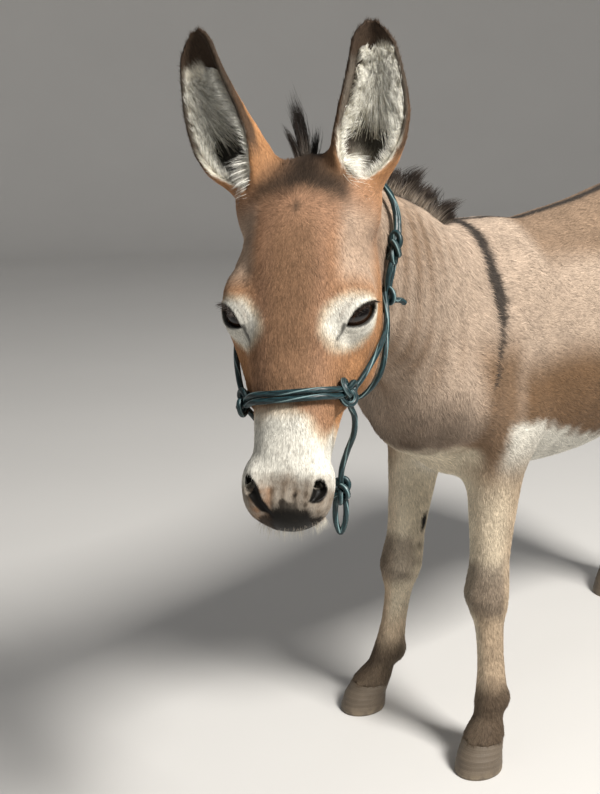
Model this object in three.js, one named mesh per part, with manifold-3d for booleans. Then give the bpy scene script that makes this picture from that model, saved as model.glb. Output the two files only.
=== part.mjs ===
// Small donkey standing square, head lowered and turned to its left, wearing a rope halter.
// Millimetres, +Z up, the nose points towards -Y and the animal's left is +X.
// The body is a field of smoothly blended masses; each part is lofted on that field's
// coat level, and thin cuts part the neighbours.

import * as THREE from 'three';
import { LoftGeometry } from 'three/addons/geometries/LoftGeometry.js';
import { mergeVertices } from 'three/addons/utils/BufferGeometryUtils.js';
import Module from 'manifold-3d';

const wasm = await Module();
wasm.setup();

// ---------------------------------------------------------------- driving dimensions

const COAT = 4;                  // coat depth on the body, from the skin to the tips
const FACE_COAT = 2;             // coat depth on the head
const GAP = 0.35;                // clearance between parts that meet
const CORONET = 52;              // height of the hoof's top edge

const HEAD = {
  nape: [80.6, -511.2, 1032],    // middle of the poll
  yaw: 28,                       // degrees that the face turns to the left
  drop: 30.5,                    // degrees between the face and the vertical
  roll: 3.4,                     // degrees that the chin swings to the left
};

const EYE = {
  at: [188, 70, -29.5],          // centre in the head's frame
  aim: [0.33, 0.71, 0.63],       // outward direction in the head's frame
  radii: [27, 22, 22],           // along the slit, across it, outwards
  slit: 49.5,                    // degrees that the slit rises towards the outer corner
  halfLength: 25, upper: 11, lower: 10,
  lid: 4.5,
};

// Knee, fetlock and hoof places on plan, one row for each front leg: left (1) and right (-1).
const FORE = {
  '1': { elbow: [70, -5], knee: [91, -50], fetlock: [112, -56], coronet: [116, -84], toe: [118, -93] },
  '-1': { elbow: [-94, 0], knee: [-103, -35], fetlock: [-138, -24], coronet: [-160, -48], toe: [-167, -57] },
};
const HIND = {
  '1': { hock: [94, 728], fetlock: [96, 705], coronet: [98, 672], toe: [98, 663] },
  '-1': { hock: [-88, 790], fetlock: [-82, 800], coronet: [-80, 765], toe: [-80, 756] },
};

// Ear axis from root to tip, the way its opening faces, and its sideways bow.
const EARS = {
  '1': { root: [118, -455, 1004], tip: [137, -444, 1212], facing: [0.62, -0.78, 0], bow: -15 },
  '-1': { root: [18, -520, 1004], tip: [-65, -562, 1202], facing: [0.18, -1, 0], bow: 22 },
};

const ROPE = { radius: 3.9, rise: 0.9, step: 34, sides: 5 };

// ---------------------------------------------------------------- vectors and local frames

const radians = THREE.MathUtils.degToRad;
const add = (a, b, t = 1) => [a[0] + b[0] * t, a[1] + b[1] * t, a[2] + b[2] * t];
const sub = (a, b) => add(a, b, -1);
const dot = (a, b) => a[0] * b[0] + a[1] * b[1] + a[2] * b[2];
const cross = (a, b) => [a[1] * b[2] - a[2] * b[1], a[2] * b[0] - a[0] * b[2], a[0] * b[1] - a[1] * b[0]];
const scale = (a, t) => [a[0] * t, a[1] * t, a[2] * t];
const unit = (a) => scale(a, 1 / Math.hypot(...a));

/** A local frame with three unit axes. */
class Place {
  constructor(origin, x, y, z) {
    this.origin = origin;
    this.axes = [x, y, z];
  }
  point(q) {
    return this.axes.reduce((p, axis, i) => add(p, axis, q[i]), this.origin);
  }
  direction(q) {
    return sub(this.point(q), this.origin);
  }
  local(p) {
    const q = sub(p, this.origin);
    return this.axes.map((axis) => dot(q, axis));
  }
  /** The same frame moved to q and turned by degrees about its own axis. */
  turned(q, axis = 0, degrees = 0) {
    const [i, j] = [[1, 2], [2, 0], [0, 1]][axis];
    const c = Math.cos(radians(degrees)), s = Math.sin(radians(degrees));
    const axes = [...this.axes];
    axes[i] = add(scale(this.axes[i], c), this.axes[j], s);
    axes[j] = add(scale(this.axes[j], c), this.axes[i], -s);
    return new Place(this.point(q), ...axes);
  }
}

const WORLD = new Place([0, 0, 0], [1, 0, 0], [0, 1, 0], [0, 0, 1]);

function headPlace({ nape, yaw, drop, roll }) {
  const ahead = [Math.sin(radians(yaw)), -Math.cos(radians(yaw)), 0];
  const down = add(scale(ahead, Math.sin(radians(drop))), [0, 0, -1], Math.cos(radians(drop)));
  const brow = add(scale(ahead, Math.cos(radians(drop))), [0, 0, 1], Math.sin(radians(drop)));
  const left = [Math.cos(radians(yaw)), Math.sin(radians(yaw)), 0];
  const c = Math.cos(radians(roll)), s = Math.sin(radians(roll));
  return new Place(nape, add(scale(down, c), left, s), add(scale(left, c), down, -s), brow);
}

/** u runs down the face from the poll, v to the animal's left, w out of the forehead. */
const SKULL = headPlace(HEAD);

/** x runs along the slit to the outer corner, y up the lid, z outwards. */
function eyePlace(side) {
  const out = unit([EYE.aim[0], side * EYE.aim[1], EYE.aim[2]]);
  const up = unit(add([-1, 0, 0], out, out[0]));
  let rear = cross(up, out);
  if (rear[2] > 0) rear = scale(rear, -1);
  const c = Math.cos(radians(EYE.slit)), s = Math.sin(radians(EYE.slit));
  const along = add(scale(rear, c), up, s), across = add(scale(up, c), rear, -s);
  const centre = SKULL.point([EYE.at[0], side * EYE.at[1], EYE.at[2]]);
  return new Place(centre, ...[along, across, out].map((axis) => SKULL.direction(axis)));
}

// ---------------------------------------------------------------- the field of masses

const softMin = (a, b, k) => Math.min(a, b) - (Math.max(k - Math.abs(a - b), 0) / k) ** 2 * k * 0.25;
const softMax = (a, b, k) => -softMin(-a, -b, k);

/** An ellipsoid. */
class Ball {
  constructor(place, radii, blend) {
    Object.assign(this, { place, radii, blend });
  }
  distance(p) {
    const q = this.place.local(p).map((x, i) => x / this.radii[i]);
    const k0 = Math.hypot(...q), k1 = Math.hypot(...q.map((x, i) => x / this.radii[i]));
    return k0 * (k0 - 1) / Math.max(k1, 1e-9);
  }
}

/** Hermite interpolation of rows at t, held at the ends. */
function interpolate(t, knots, rows) {
  let i = 0;
  while (i < knots.length - 2 && t > knots[i + 1]) i++;
  const last = rows.length - 1;
  const slope = (j, c) => {
    const a = Math.max(j - 1, 0), b = Math.min(j + 1, last);
    return (rows[b][c] - rows[a][c]) / (knots[b] - knots[a]);
  };
  const g = knots[i + 1] - knots[i], f = (t - knots[i]) / g;
  return rows[i].map((start, c) =>
    start * (1 + 2 * f) * (1 - f) ** 2 + slope(i, c) * g * f * (1 - f) ** 2
    + rows[i + 1][c] * f * f * (3 - 2 * f) + slope(i + 1, c) * g * f * f * (f - 1));
}

/** Oval sections across one axis. Rows are x, y, z, half size along the first other axis, then the second. */
class Tube {
  constructor(rows, axis, { place = WORLD, blend = 30, power = 2, cap = null } = {}) {
    const sorted = rows.map((r) => (r.length === 5 ? r : [...r, r[3]])).sort((a, b) => a[axis] - b[axis]);
    const others = [0, 1, 2].filter((i) => i !== axis);
    const ends = [sorted[0], sorted[sorted.length - 1]].map((r) => Math.min(r[3], r[4]));
    Object.assign(this, { place, axis, blend, power, others });
    this.knots = sorted.map((r) => r[axis]);
    this.rows = sorted.map((r) => [r[others[0]], r[others[1]], r[3], r[4]]);
    this.cap = cap === null ? ends : [cap].flat();
    if (this.cap.length === 1) this.cap.push(this.cap[0]);
  }
  at(t) {
    return interpolate(t, this.knots, this.rows);
  }
  distance(p) {
    const q = this.place.local(p);
    const t = Math.min(Math.max(q[this.axis], this.knots[0]), this.knots[this.knots.length - 1]);
    const [a, b, w, h] = this.at(t);
    const x = q[this.others[0]] - a, y = q[this.others[1]] - b, z = q[this.axis] - t;
    const c = z < 0 ? this.cap[0] : this.cap[1];
    if (this.power === 2) {
      const k0 = Math.hypot(x / w, y / h, z / c), k1 = Math.hypot(x / w ** 2, y / h ** 2, z / c ** 2);
      return Math.max(k0 * (k0 - 1) / Math.max(k1, 1e-9), -Math.min(w, h));
    }
    const n = this.power;
    const k = (Math.abs(x / w) ** n + Math.abs(y / h) ** n + Math.abs(z / c) ** n) ** (1 / n);
    return (k - 1) * Math.min(w, h);
  }
}

const field = (masses) => (p) => masses.reduce((d, m) => softMin(d, m.distance(p), m.blend), 1000);

const SIDES = [1, -1];
const placedBall = (frame) => (centre, radii, blend, axis = 0, degrees = 0) =>
  new Ball(frame.turned(centre, axis, degrees), radii, blend);
const ball = placedBall(WORLD), skullBall = placedBall(SKULL);
const skullTube = (rows, options) => new Tube(rows, 0, { place: SKULL, ...options });

function trunkMasses() {
  // y, back, belly, half width
  const barrel = [
    [-150, 770, 575, 72], [-90, 848, 515, 100], [-20, 888, 487, 120], [80, 896, 482, 142],
    [200, 908, 472, 162], [320, 920, 472, 170], [440, 936, 495, 163], [540, 944, 545, 150],
    [630, 926, 605, 128], [695, 888, 660, 95],
  ].map(([y, back, belly, width]) => [0, y, (back + belly) / 2, width, (back - belly) / 2]);
  const withers = ball([0, -10, 838], [32, 110, 46], 60);
  const spine = new Tube([
    [0, 110, 864, 24, 34], [0, 240, 878, 25, 34], [0, 370, 896, 26, 34],
    [0, 490, 918, 28, 36], [0, 590, 920, 28, 36], [0, 690, 884, 26, 34],
  ], 1, { blend: 60, cap: 60 });
  const breast = ball([0, -135, 640], [86, 60, 80], 50);
  const quarters = SIDES.flatMap((s) => [
    ball([s * 78, -35, 722], [44, 78, 150], 45, 0, -32),      // shoulder blade
    ball([s * 86, -118, 655], [42, 50, 58], 40),              // point of the shoulder
    ball([s * 90, -15, 600], [42, 72, 78], 40),               // upper arm
    ball([s * 72, 570, 846], [70, 128, 74], 60),              // croup
    ball([s * 92, 640, 705], [66, 120, 165], 50, 0, 12),      // thigh
    ball([s * 102, 535, 605], [46, 72, 80], 45),              // stifle
  ]);
  return [new Tube(barrel, 1, { power: 2.15, cap: 70 }), withers, spine, breast, ...quarters];
}

function neckMasses() {
  return [new Tube([
    [0, 10, 735, 88, 162], [4, -110, 770, 84, 158], [18, -210, 822, 74, 148],
    [40, -310, 868, 66, 128], [62, -395, 905, 62, 112], [80, -470, 945, 60, 92],
  ], 1, { blend: 60, power: 2.1, cap: [40, 110] })];
}

/** Rows of a leg between two joints: fraction of the way, half width, half depth, shift back. */
const bone = (from, to, rows) => rows.map(([t, w, d, back = 0]) => {
  const [x, y, z] = add(from, sub(to, from), t);
  return [x, y + back, z, w, d];
});

function foreLeg(side) {
  const { elbow, knee, fetlock, coronet } = FORE[side];
  const a = [...elbow, 580], b = [...knee, 300], c = [...fetlock, 112], d = [...coronet, CORONET + 2];
  const rows = [
    ...bone(a, b, [[0, 44, 70], [0.22, 43, 62], [0.5, 36, 48], [0.78, 31, 38], [0.92, 35, 38, -2]]),
    ...bone(b, c, [[0, 36, 40, -3], [0.13, 31, 36], [0.3, 22, 29, 2], [0.6, 20, 26, 2], [0.83, 23, 28, 1],
      [1, 27, 33]]),
    ...bone(c, d, [[0.4, 24, 27], [0.8, 30, 35], [1, 33, 40]]),
  ];
  return [new Tube(rows, 2, { cap: [12, 60] }), ball([c[0], c[1] + 22, 102], [17, 17, 20], 16)];
}

function hindLeg(side) {
  const { hock, fetlock, coronet } = HIND[side];
  const a = [side * 104, 575, 620], b = [...hock, 375], c = [...fetlock, 118], d = [...coronet, CORONET + 2];
  const rows = [
    ...bone(a, b, [[0, 56, 90], [0.3, 46, 72, -6], [0.6, 34, 50, -6], [0.85, 27, 38, -2], [1, 29, 42, 2]]),
    ...bone(b, c, [[0.14, 28, 38, 3], [0.32, 22, 31], [0.6, 21, 28], [0.85, 24, 30], [1, 27, 34]]),
    ...bone(c, d, [[0.4, 24, 27], [0.8, 30, 34], [1, 33, 39]]),
  ];
  const tendon = bone(a, b, [[0.25, 18, 26, 36], [0.41, 15, 24, 43], [0.53, 13, 23, 50], [0.65, 12, 24, 55],
    [0.78, 12, 25, 55], [0.9, 13, 20, 50]]);
  return [
    new Tube(rows, 2, { blend: 34, cap: [12, 90] }),
    new Tube(tendon, 2, { blend: 22, cap: [14, 20] }),
    ball([b[0], b[1] + 34, 395], [14, 17, 28], 22, 0, -25),   // point of the hock
    ball([c[0], c[1] + 22, 108], [17, 17, 20], 16),
  ];
}

function headMasses() {
  // u, w, half width, half depth
  const face = [
    [10, -62, 56, 48], [50, -54, 70, 60], [100, -50, 80, 65], [150, -52, 82, 66], [200, -50, 76, 60],
    [250, -48, 62, 51], [300, -47, 52, 44], [350, -47, 47, 40], [400, -49, 47, 40], [420, -53, 42, 36],
  ].map(([u, w, width, depth]) => [u, 0, w, width, depth]);
  const middle = [
    skullTube(face, { blend: 40, power: 2.4, cap: 34 }),
    skullBall([95, 0, -20], [80, 60, 37], 30),                // forehead
    skullBall([429, 0, -54], [28, 39, 34], 22),               // upper lip
    skullBall([419, 0, -94], [31, 28, 24], 14),               // chin and lower lip
    skullBall([30, 0, -75], [60, 56, 55], 40),                // poll
  ];
  const pairs = SIDES.flatMap((s) => [
    skullBall([170, s * 60, -112], [92, 33, 66], 28, 1, 18),  // cheek
    skullTube([[120, s * 48, -165, 18, 24], [185, s * 47, -166, 19, 22], [265, s * 33, -138, 15, 17],
      [340, s * 22, -112, 14, 15], [410, s * 12, -98, 14, 14]], { blend: 30 }),          // jaw bone
    skullBall([176, s * 66, -40], [42, 26, 32], 24, 2, s * 8),                           // orbit
    skullTube([[128, s * 68, -24, 12], [150, s * 80, -20, 12], [172, s * 84, -20, 10],
      [200, s * 74, -26, 9]], { blend: 18 }),                                            // brow
    skullTube([[205, s * 74, -64, 11], [245, s * 64, -68, 11], [290, s * 53, -68, 9]], { blend: 26 }),
    skullBall([412, s * 36, -38], [32, 20, 28], 18, 2, s * -8),                          // nostril wing
    skullBall([36, s * 58, -40], [36, 30, 36], 26),                                      // ear base
    new Ball(eyePlace(s), EYE.radii.map((r) => r + EYE.lid), 12),                        // lids
  ]);
  const throat = skullTube([
    [150, 0, -140, 36, 34], [240, 0, -118, 30, 30], [340, 0, -96, 26, 26], [415, 0, -82, 26, 22],
  ]);
  return [...middle, ...pairs, throat];
}

function tailMasses() {
  return [new Tube([
    [0, 700, 900, 28, 50], [0, 742, 870, 26, 34], [0, 764, 830, 22, 22], [0, 776, 750, 19], [0, 781, 660, 16],
    [0, 784, 580, 14], [0, 786, 520, 26], [0, 788, 440, 34], [0, 787, 370, 22], [0, 785, 325, 6],
  ], 2, { blend: 22 })];
}

const torso = field([...trunkMasses(), ...neckMasses()]);
const skull = field(headMasses());
const tail = field(tailMasses());

// ---------------------------------------------------------------- solids from the field

/** The point where a ray from the middle first leaves the field's level, no farther than reach. */
function surfacePoint(shape, middle, direction, level, reach) {
  const step = 5;
  let r = 0;
  while (r < reach && shape(add(middle, direction, r)) < level) r += step;
  if (r >= reach) return add(middle, direction, reach);
  let low = Math.max(r - step, 0), high = r;
  for (let i = 0; i < 16; i++) {
    const mid = (low + high) / 2;
    if (shape(add(middle, direction, mid)) < level) low = mid; else high = mid;
  }
  return add(middle, direction, (low + high) / 2);
}

/** One ring of points on a shape, turning from the across direction to the up direction. */
function ring(shape, middle, across, up, count, level, reach = 600) {
  return Array.from({ length: count }, (_, i) => {
    const turn = (i / count) * 2 * Math.PI;
    const direction = add(scale(across, Math.cos(turn)), up, Math.sin(turn));
    return surfacePoint(shape, middle, direction, level, reach);
  });
}

const vectors = (points) => points.map((p) => new THREE.Vector3(...p));
const turnOf = (place) => new THREE.Matrix4().makeBasis(...vectors(place.axes));

/** A closed loft through rings of points, whichever way round they were drawn. */
function loft(rings) {
  const centre = (points) => scale(points.reduce((a, b) => add(a, b)), 1 / points.length);
  const [first, second] = rings;
  const facing = first.reduce((sum, p, i) => add(sum, cross(p, first[(i + 1) % first.length])), [0, 0, 0]);
  const onward = dot(facing, sub(centre(second), centre(first))) > 0;
  const sections = rings.map((r) => vectors(onward ? r : [...r].reverse()));
  return new LoftGeometry(sections, { capStart: true, capEnd: true });
}

function solid(geometry) {
  const bare = new THREE.BufferGeometry();
  bare.setAttribute('position', geometry.getAttribute('position'));
  if (geometry.getIndex()) bare.setIndex(geometry.getIndex());
  const merged = mergeVertices(bare, 1e-4);
  return new wasm.Manifold(new wasm.Mesh({
    numProp: 3,
    vertProperties: Float32Array.from(merged.getAttribute('position').array),
    triVerts: Uint32Array.from(merged.getIndex().array),
  }));
}

/** The largest single body of a boolean's result. */
const largest = (shape) => shape.decompose().reduce((a, b) => (a.volume() > b.volume() ? a : b));

const union = (shapes) => shapes.reduce((a, b) => a.add(b));
const clear = (shape, others) => others.reduce((a, b) => a.subtract(b), shape);

function geometryOf(shape) {
  const { vertProperties, triVerts } = shape.getMesh();
  const geometry = new THREE.BufferGeometry();
  geometry.setAttribute('position', new THREE.BufferAttribute(Float32Array.from(vertProperties), 3));
  geometry.setIndex(new THREE.BufferAttribute(Uint32Array.from(triVerts), 1));
  geometry.computeVertexNormals();
  return geometry;
}

/** All space on the far side of a plane, as a large box. */
function beyond(point, normal) {
  const size = 2400;
  const box = new THREE.BoxGeometry(size, size, size);
  box.translate(0, 0, size / 2);
  const [up, outward] = vectors([[0, 0, 1], unit(normal)]);
  box.applyQuaternion(new THREE.Quaternion().setFromUnitVectors(up, outward));
  box.translate(...point);
  return solid(box);
}

// ---------------------------------------------------------------- trunk and neck

// Section planes from the buttocks to the poll: y and z of a point above, y and z of one below, then x.
const TORSO_PLANES = [
  [752, 800, 752, 640, 0], [742, 860, 742, 560, 0], [722, 905, 722, 540, 0], [695, 930, 695, 530, 0],
  [655, 950, 655, 520, 0], [600, 960, 600, 500, 0], [540, 965, 540, 490, 0], [480, 955, 480, 480, 0],
  [400, 940, 400, 475, 0], [320, 930, 320, 470, 0], [240, 920, 240, 470, 0], [160, 912, 160, 475, 0],
  [90, 915, 90, 485, 0], [35, 922, 35, 495, 0], [0, 925, -25, 510, 0], [-30, 928, -75, 530, 0],
  [-55, 930, -125, 560, 2], [-75, 932, -170, 600, 4], [-95, 935, -203, 650, 6], [-120, 940, -222, 700, 9],
  [-150, 948, -245, 720, 14], [-190, 958, -280, 735, 22], [-240, 970, -325, 750, 32],
  [-300, 985, -375, 765, 43], [-360, 1000, -425, 785, 54], [-420, 1015, -470, 810, 66],
  [-470, 1030, -505, 850, 76],
];
const TORSO_SIDES = 20;
const NECK_ROOT = 18;            // the plane where the neck starts

function torsoSolid(extra = 0) {
  const last = TORSO_PLANES.length - 1;
  return solid(loft(TORSO_PLANES.map(([yTop, zTop, yLow, zLow, x], i) => {
    const longer = i === 0 ? extra : i === last ? -extra : 0;
    const middle = [x, (yTop + yLow) / 2 + longer, (zTop + zLow) / 2];
    const up = unit([0, yTop - yLow, zTop - zLow]);
    return ring(torso, middle, [1, 0, 0], up, TORSO_SIDES, COAT + extra);
  })));
}

// ---------------------------------------------------------------- head

const SKULL_STATIONS = [-34, -22, -3, 24, 54, 84, 110, 130, 146, 160, 174, 188, 201, 218, 242, 272,
  302, 332, 360, 382, 400, 414, 428, 440, 451, 459];
const SKULL_SIDES = 24;

function skullSolid(extra = 0) {
  const last = SKULL_STATIONS.length - 1;
  const rings = SKULL_STATIONS.map((u, i) => {
    const depth = -74 + 14 * THREE.MathUtils.smoothstep(u, 380, 460);
    const longer = i === 0 ? -extra : i === last ? extra : 0;
    const middle = SKULL.point([u + longer, 0, depth]);
    return ring(skull, middle, SKULL.axes[1], SKULL.axes[2], SKULL_SIDES, FACE_COAT + extra, 200);
  });
  return solid(loft(rings));
}

function eyeGeometry(side, extra = 0) {
  const geometry = new THREE.SphereGeometry(1, 11, 7);
  geometry.scale(...EYE.radii.map((r) => r + extra));
  const place = eyePlace(side);
  const turn = turnOf(place);
  geometry.applyMatrix4(turn);
  if (turn.determinant() < 0) geometry.setIndex([...geometry.getIndex().array].reverse());
  geometry.translate(...place.origin);
  return geometry;
}

/** The slit between the lids, two arcs that meet at the corners, carried outwards. */
function slitSolid(side) {
  const place = eyePlace(side), steps = 8;
  const arc = (height) => Array.from({ length: steps }, (_, i) => {
    const t = -1 + (2 * i) / steps;
    return [EYE.halfLength * t, height * (1 - t * t)];
  });
  const upper = arc(EYE.upper), lower = arc(-EYE.lower).map(([x, y]) => [-x, y]);
  const outline = (z, grow) => [...upper, ...lower].map(([x, y]) => place.point([x * grow, y * grow, z]));
  return solid(loft([outline(8, 1), outline(60, 1.5)]));
}

/** A nostril: a short leaning hollow, widest in the middle. */
function nostrilSolid(side) {
  const rows = [
    [432, 34, -36, 2.5], [427, 39, -28, 5], [420, 42, -19, 7], [411, 42, -11, 6.5], [402, 39, -6, 3],
  ];
  const inward = SKULL.direction(unit([-0.55, side * -0.62, -0.56]));
  const rings = [14, -16].map((depth) => {
    const edge = (sign) => rows.map(([u, v, w, r]) =>
      add(SKULL.point([u, side * (v + sign * r * 0.7), w + sign * r * 0.4]), inward, depth));
    return [...edge(1), ...edge(-1).reverse()];
  });
  return solid(loft(rings));
}

function mouthSolid() {
  const slit = new THREE.BoxGeometry(84, 130, 1.6);
  slit.translate(436, 0, -78);
  slit.applyMatrix4(turnOf(SKULL));
  slit.translate(...SKULL.origin);
  return solid(slit);
}

// ---------------------------------------------------------------- ears

// From inside the head to the tip: fraction, half width, half gap in degrees, wall, depth behind the axis.
const EAR_ROWS = [
  [-0.12, 27, 20, 6, 27], [0, 28, 22, 6, 29], [0.1, 34, 40, 5, 32], [0.2, 40, 60, 4.6, 34],
  [0.35, 43, 82, 4.2, 34], [0.5, 42.5, 98, 3.9, 30], [0.65, 37, 106, 3.6, 24], [0.8, 30, 112, 3.3, 17],
  [0.9, 25, 118, 3.1, 13], [0.96, 17, 122, 3, 10], [1.01, 6, 126, 3, 8],
];
const EAR_ARC_STEPS = 7;

function earSolid(side, extra = 0) {
  const { root, tip, facing, bow } = EARS[side];
  const along = unit(sub(tip, root)), length = Math.hypot(...sub(tip, root));
  const front = unit(add(facing, along, -dot(facing, along)));
  const across = cross(front, along);
  const rings = EAR_ROWS.map(([t, width, gap, wall, back]) => {
    const opening = radians(gap);
    const radius = width / (gap < 90 ? 1 : Math.sin(opening));
    const bowed = bow * Math.sin(Math.PI * Math.min(Math.max(t, 0), 1));
    const middle = add(add(add(root, along, t * length), across, bowed), front, radius - back);
    const edge = (r) => Array.from({ length: EAR_ARC_STEPS + 1 }, (_, i) => {
      const turn = opening + (2 * Math.PI - 2 * opening) * (i / EAR_ARC_STEPS);
      return add(add(middle, across, r * Math.sin(turn)), front, r * Math.cos(turn));
    });
    const half = wall + FACE_COAT + extra;
    return [...edge(radius + half), ...edge(radius - half).reverse()];
  });
  return solid(loft(rings));
}

// ---------------------------------------------------------------- legs, hooves and tail

const LEG_SIDES = 10;
const FORE_HEIGHTS = [570, 535, 500, 465, 425, 380, 343, 318, 298, 275, 250, 215, 165, 130, 110, 92, 72,
  CORONET + GAP];
const HIND_HEIGHTS = [610, 570, 530, 490, 450, 418, 390, 362, 330, 285, 235, 175, 135, 115, 95, 72,
  CORONET + GAP];

// The cuts that part the legs from the trunk: a point, the upward normal, and the reach along Y.
const FORE_SEAM = { point: [0, 0, 486], normal: unit([0, 0.2, 1]), from: -400, to: 110 };
const HIND_SEAM = { point: [0, 0, 512], normal: [0, 0, 1], from: 500, to: 1000 };

/** A leg from inside the trunk down to the coronet. */
function legSolid(masses, heights) {
  const body = field([...trunkMasses(), ...neckMasses(), ...masses]);
  const column = masses[0];
  return solid(loft(heights.map((z) => {
    const t = Math.min(Math.max(z, column.knots[0]), column.knots[column.knots.length - 1]);
    const [x, y, w, d] = column.at(t);
    return ring(body, [x, y, z], [1, 0, 0], [0, 1, 0], LEG_SIDES, COAT, Math.max(w, d) * 1.05 + 14);
  })));
}

function hoofGeometry({ coronet, toe }) {
  // height, shift towards the ground point, half width, half length
  const rows = [[CORONET, 0, 34, 41], [30, 0.7, 36, 45], [6, 1, 38, 49], [0, 1, 37.5, 48.5]];
  return loft(rows.map(([z, t, w, l]) => Array.from({ length: 12 }, (_, i) => {
    const turn = (i / 12) * 2 * Math.PI;
    const heel = Math.sin(turn) > 0 ? 0.86 : 1;
    return [coronet[0] + (toe[0] - coronet[0]) * t + w * Math.cos(turn),
      coronet[1] + (toe[1] - coronet[1] - 4) * t + l * heel * Math.sin(turn), z];
  })));
}

const TAIL_TOP = 905, SWITCH_TOP = 548, TAIL_TIP = 322;

function tailSolid(from, to, steps) {
  const column = tailMasses()[0];
  return solid(loft(Array.from({ length: steps + 1 }, (_, i) => {
    const z = from + (to - from) * (i / steps);
    const [x, y] = column.at(Math.min(Math.max(z, column.knots[0]), column.knots[column.knots.length - 1]));
    return ring(tail, [x, y, z], [1, 0, 0], [0, 1, 0], 10, COAT);
  })));
}

// ---------------------------------------------------------------- mane and forelock

/** Short falling mane along the crest, in overlapping lobes that lean to the left. */
function maneSolid() {
  const stations = 13, from = -452, to = -70;
  return solid(loft(Array.from({ length: stations }, (_, i) => {
    const t = i / (stations - 1), y = from + (to - from) * t;
    const x = THREE.MathUtils.lerp(76, 2, t ** 0.9);
    const crest = surfacePoint(torso, [x, y, 820], [0, 0, 1], COAT, 400);
    const height = (i % 2 ? 44 : 34) * Math.min(1, 0.35 + 4 * t, 0.3 + 3.2 * (1 - t));
    const root = add(crest, [0, 0, -9]), back = 16 * t;
    return [
      add(root, [-13, 0, 0]), add(root, [-9, back * 0.4, height * 0.6]), add(root, [4, back, height + 8]),
      add(root, [15, back, height * 0.75]), add(root, [15, 0, 0]),
    ];
  })));
}

/** A tapered lock of hair from root to tip. */
function lock(root, tip, bow, radius) {
  const along = unit(sub(tip, root)), across = unit(cross(along, [0.3, 0.9, 0.2]));
  const other = cross(along, across);
  const sizes = [1, 0.85, 0.55, 0.12];
  return solid(loft(sizes.map((size, i) => {
    const t = i / (sizes.length - 1), r = radius * size;
    const middle = add(add(root, sub(tip, root), t), bow, Math.sin(Math.PI * t));
    return Array.from({ length: 6 }, (_, j) => {
      const turn = (j / 6) * 2 * Math.PI;
      return add(add(middle, across, r * Math.cos(turn)), other, r * 0.7 * Math.sin(turn));
    });
  })));
}

function forelockSolid() {
  const root = SKULL.point([6, -4, -36]);
  const tuft = knotSolid(SKULL.point([-24, -6, -38]), [16, 19, 15]);
  return union([
    tuft,
    lock(root, SKULL.point([-129, -32, -30]), SKULL.direction([0, 8, 4]), 15),
    lock(root, SKULL.point([-84, -40, -30]), SKULL.direction([0, -4, 4]), 11),
    lock(root, SKULL.point([-93, 4, -50]), SKULL.direction([0, 5, 0]), 12),
  ]);
}

// ---------------------------------------------------------------- halter

const dressed = (p) => softMin(skull(p) - FACE_COAT, torso(p) - COAT, 6);

/** A rope's centre over the head: u, degrees round from the left towards the brow, depth of the middle. */
function ropePoint([u, turn, depth = -70], lift = 0) {
  const direction = SKULL.direction([0, Math.cos(radians(turn)), Math.sin(radians(turn))]);
  const clearance = ROPE.radius + ROPE.rise + lift;
  return surfacePoint(dressed, SKULL.point([u, 0, depth]), direction, clearance, 260);
}

function ropeSolid(points, radius = ROPE.radius) {
  const curve = new THREE.CatmullRomCurve3(vectors(points), false, 'centripetal');
  const section = new THREE.Shape(Array.from({ length: ROPE.sides }, (_, i) => {
    const turn = (i / ROPE.sides) * 2 * Math.PI;
    return new THREE.Vector2(radius * Math.cos(turn), radius * Math.sin(turn));
  }));
  const steps = Math.max(4, Math.round(curve.getLength() / ROPE.step));
  return solid(new THREE.ExtrudeGeometry(section, { steps, extrudePath: curve, bevelEnabled: false }));
}

function knotSolid(centre, radii, extra = 0) {
  const geometry = new THREE.SphereGeometry(1, 8, 5);
  geometry.scale(...radii.map((r) => r + extra));
  geometry.applyMatrix4(turnOf(SKULL));
  geometry.translate(...centre);
  return solid(geometry);
}

const mirrored = (points, side) => points.map(([u, turn, depth]) => [u, side > 0 ? turn : 180 - turn, depth]);
const rope = (points, side = 1, lift = 0, extra = 0) =>
  ropeSolid(mirrored(points, side).map((q) => ropePoint(q, lift)), ROPE.radius + extra);

const NOSE_KNOT = { '1': [287, 22], '-1': [299, 18] }, THROAT_KNOT = [132, -32, -104];
const KNOT = [11, 8, 11];
const knotAt = (place, side, extra) => knotSolid(ropePoint(mirrored([place], side)[0], 3), KNOT, extra);

/** Two strands over the nose, joined by the side knots. */
function nosebandSolid(extra = 0) {
  const route = [
    [286, 20], [293, 36], [300, 55], [305, 75], [307, 90], [308, 105], [307, 125], [304, 146], [299, 164],
  ];
  const strand = (shift) => rope(route.map(([u, turn]) =>
    [u + shift * (Math.abs(turn - 90) > 65 ? 0.4 : 1), turn]), 1, 0, extra);
  return union([strand(-5), strand(5), ...SIDES.map((side) => knotAt(NOSE_KNOT[side], side, extra))]);
}

/** Two strands behind the ears, joined by the throat knots, with the tie on the left. */
function crownSolid(extra = 0) {
  const [knotU, knotTurn, knotDepth] = THROAT_KNOT;
  // u, degrees round and depth, from the left throat knot over the poll to the right one
  const route = [
    [knotU, knotTurn, knotDepth], [104, -20, -108], [78, -14, -112], [50, -8, -120], [20, -2, -132],
    [-10, 8, -144], [-32, 26, -150], [-47, 54, -150], [-54, 90, -150], [-48, 122, -142], [-32, 150, -132],
    [-8, 168, -120], [22, 180, -110], [52, 188, -106], [78, 194, -106], [104, 200, -106],
    [knotU, 180 - knotTurn, knotDepth],
  ];
  const strand = (shift) =>
    rope(route.map(([u, turn, depth]) => [u + shift * 0.4, turn, depth - shift]), 1, 3, extra);
  const tie = knotSolid(ropePoint([82, -15, -111], 4), [16, 7, 9], extra);
  return union([strand(-4.5), strand(4.5), tie, ...SIDES.map((side) => knotAt(THROAT_KNOT, side, extra))]);
}

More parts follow.
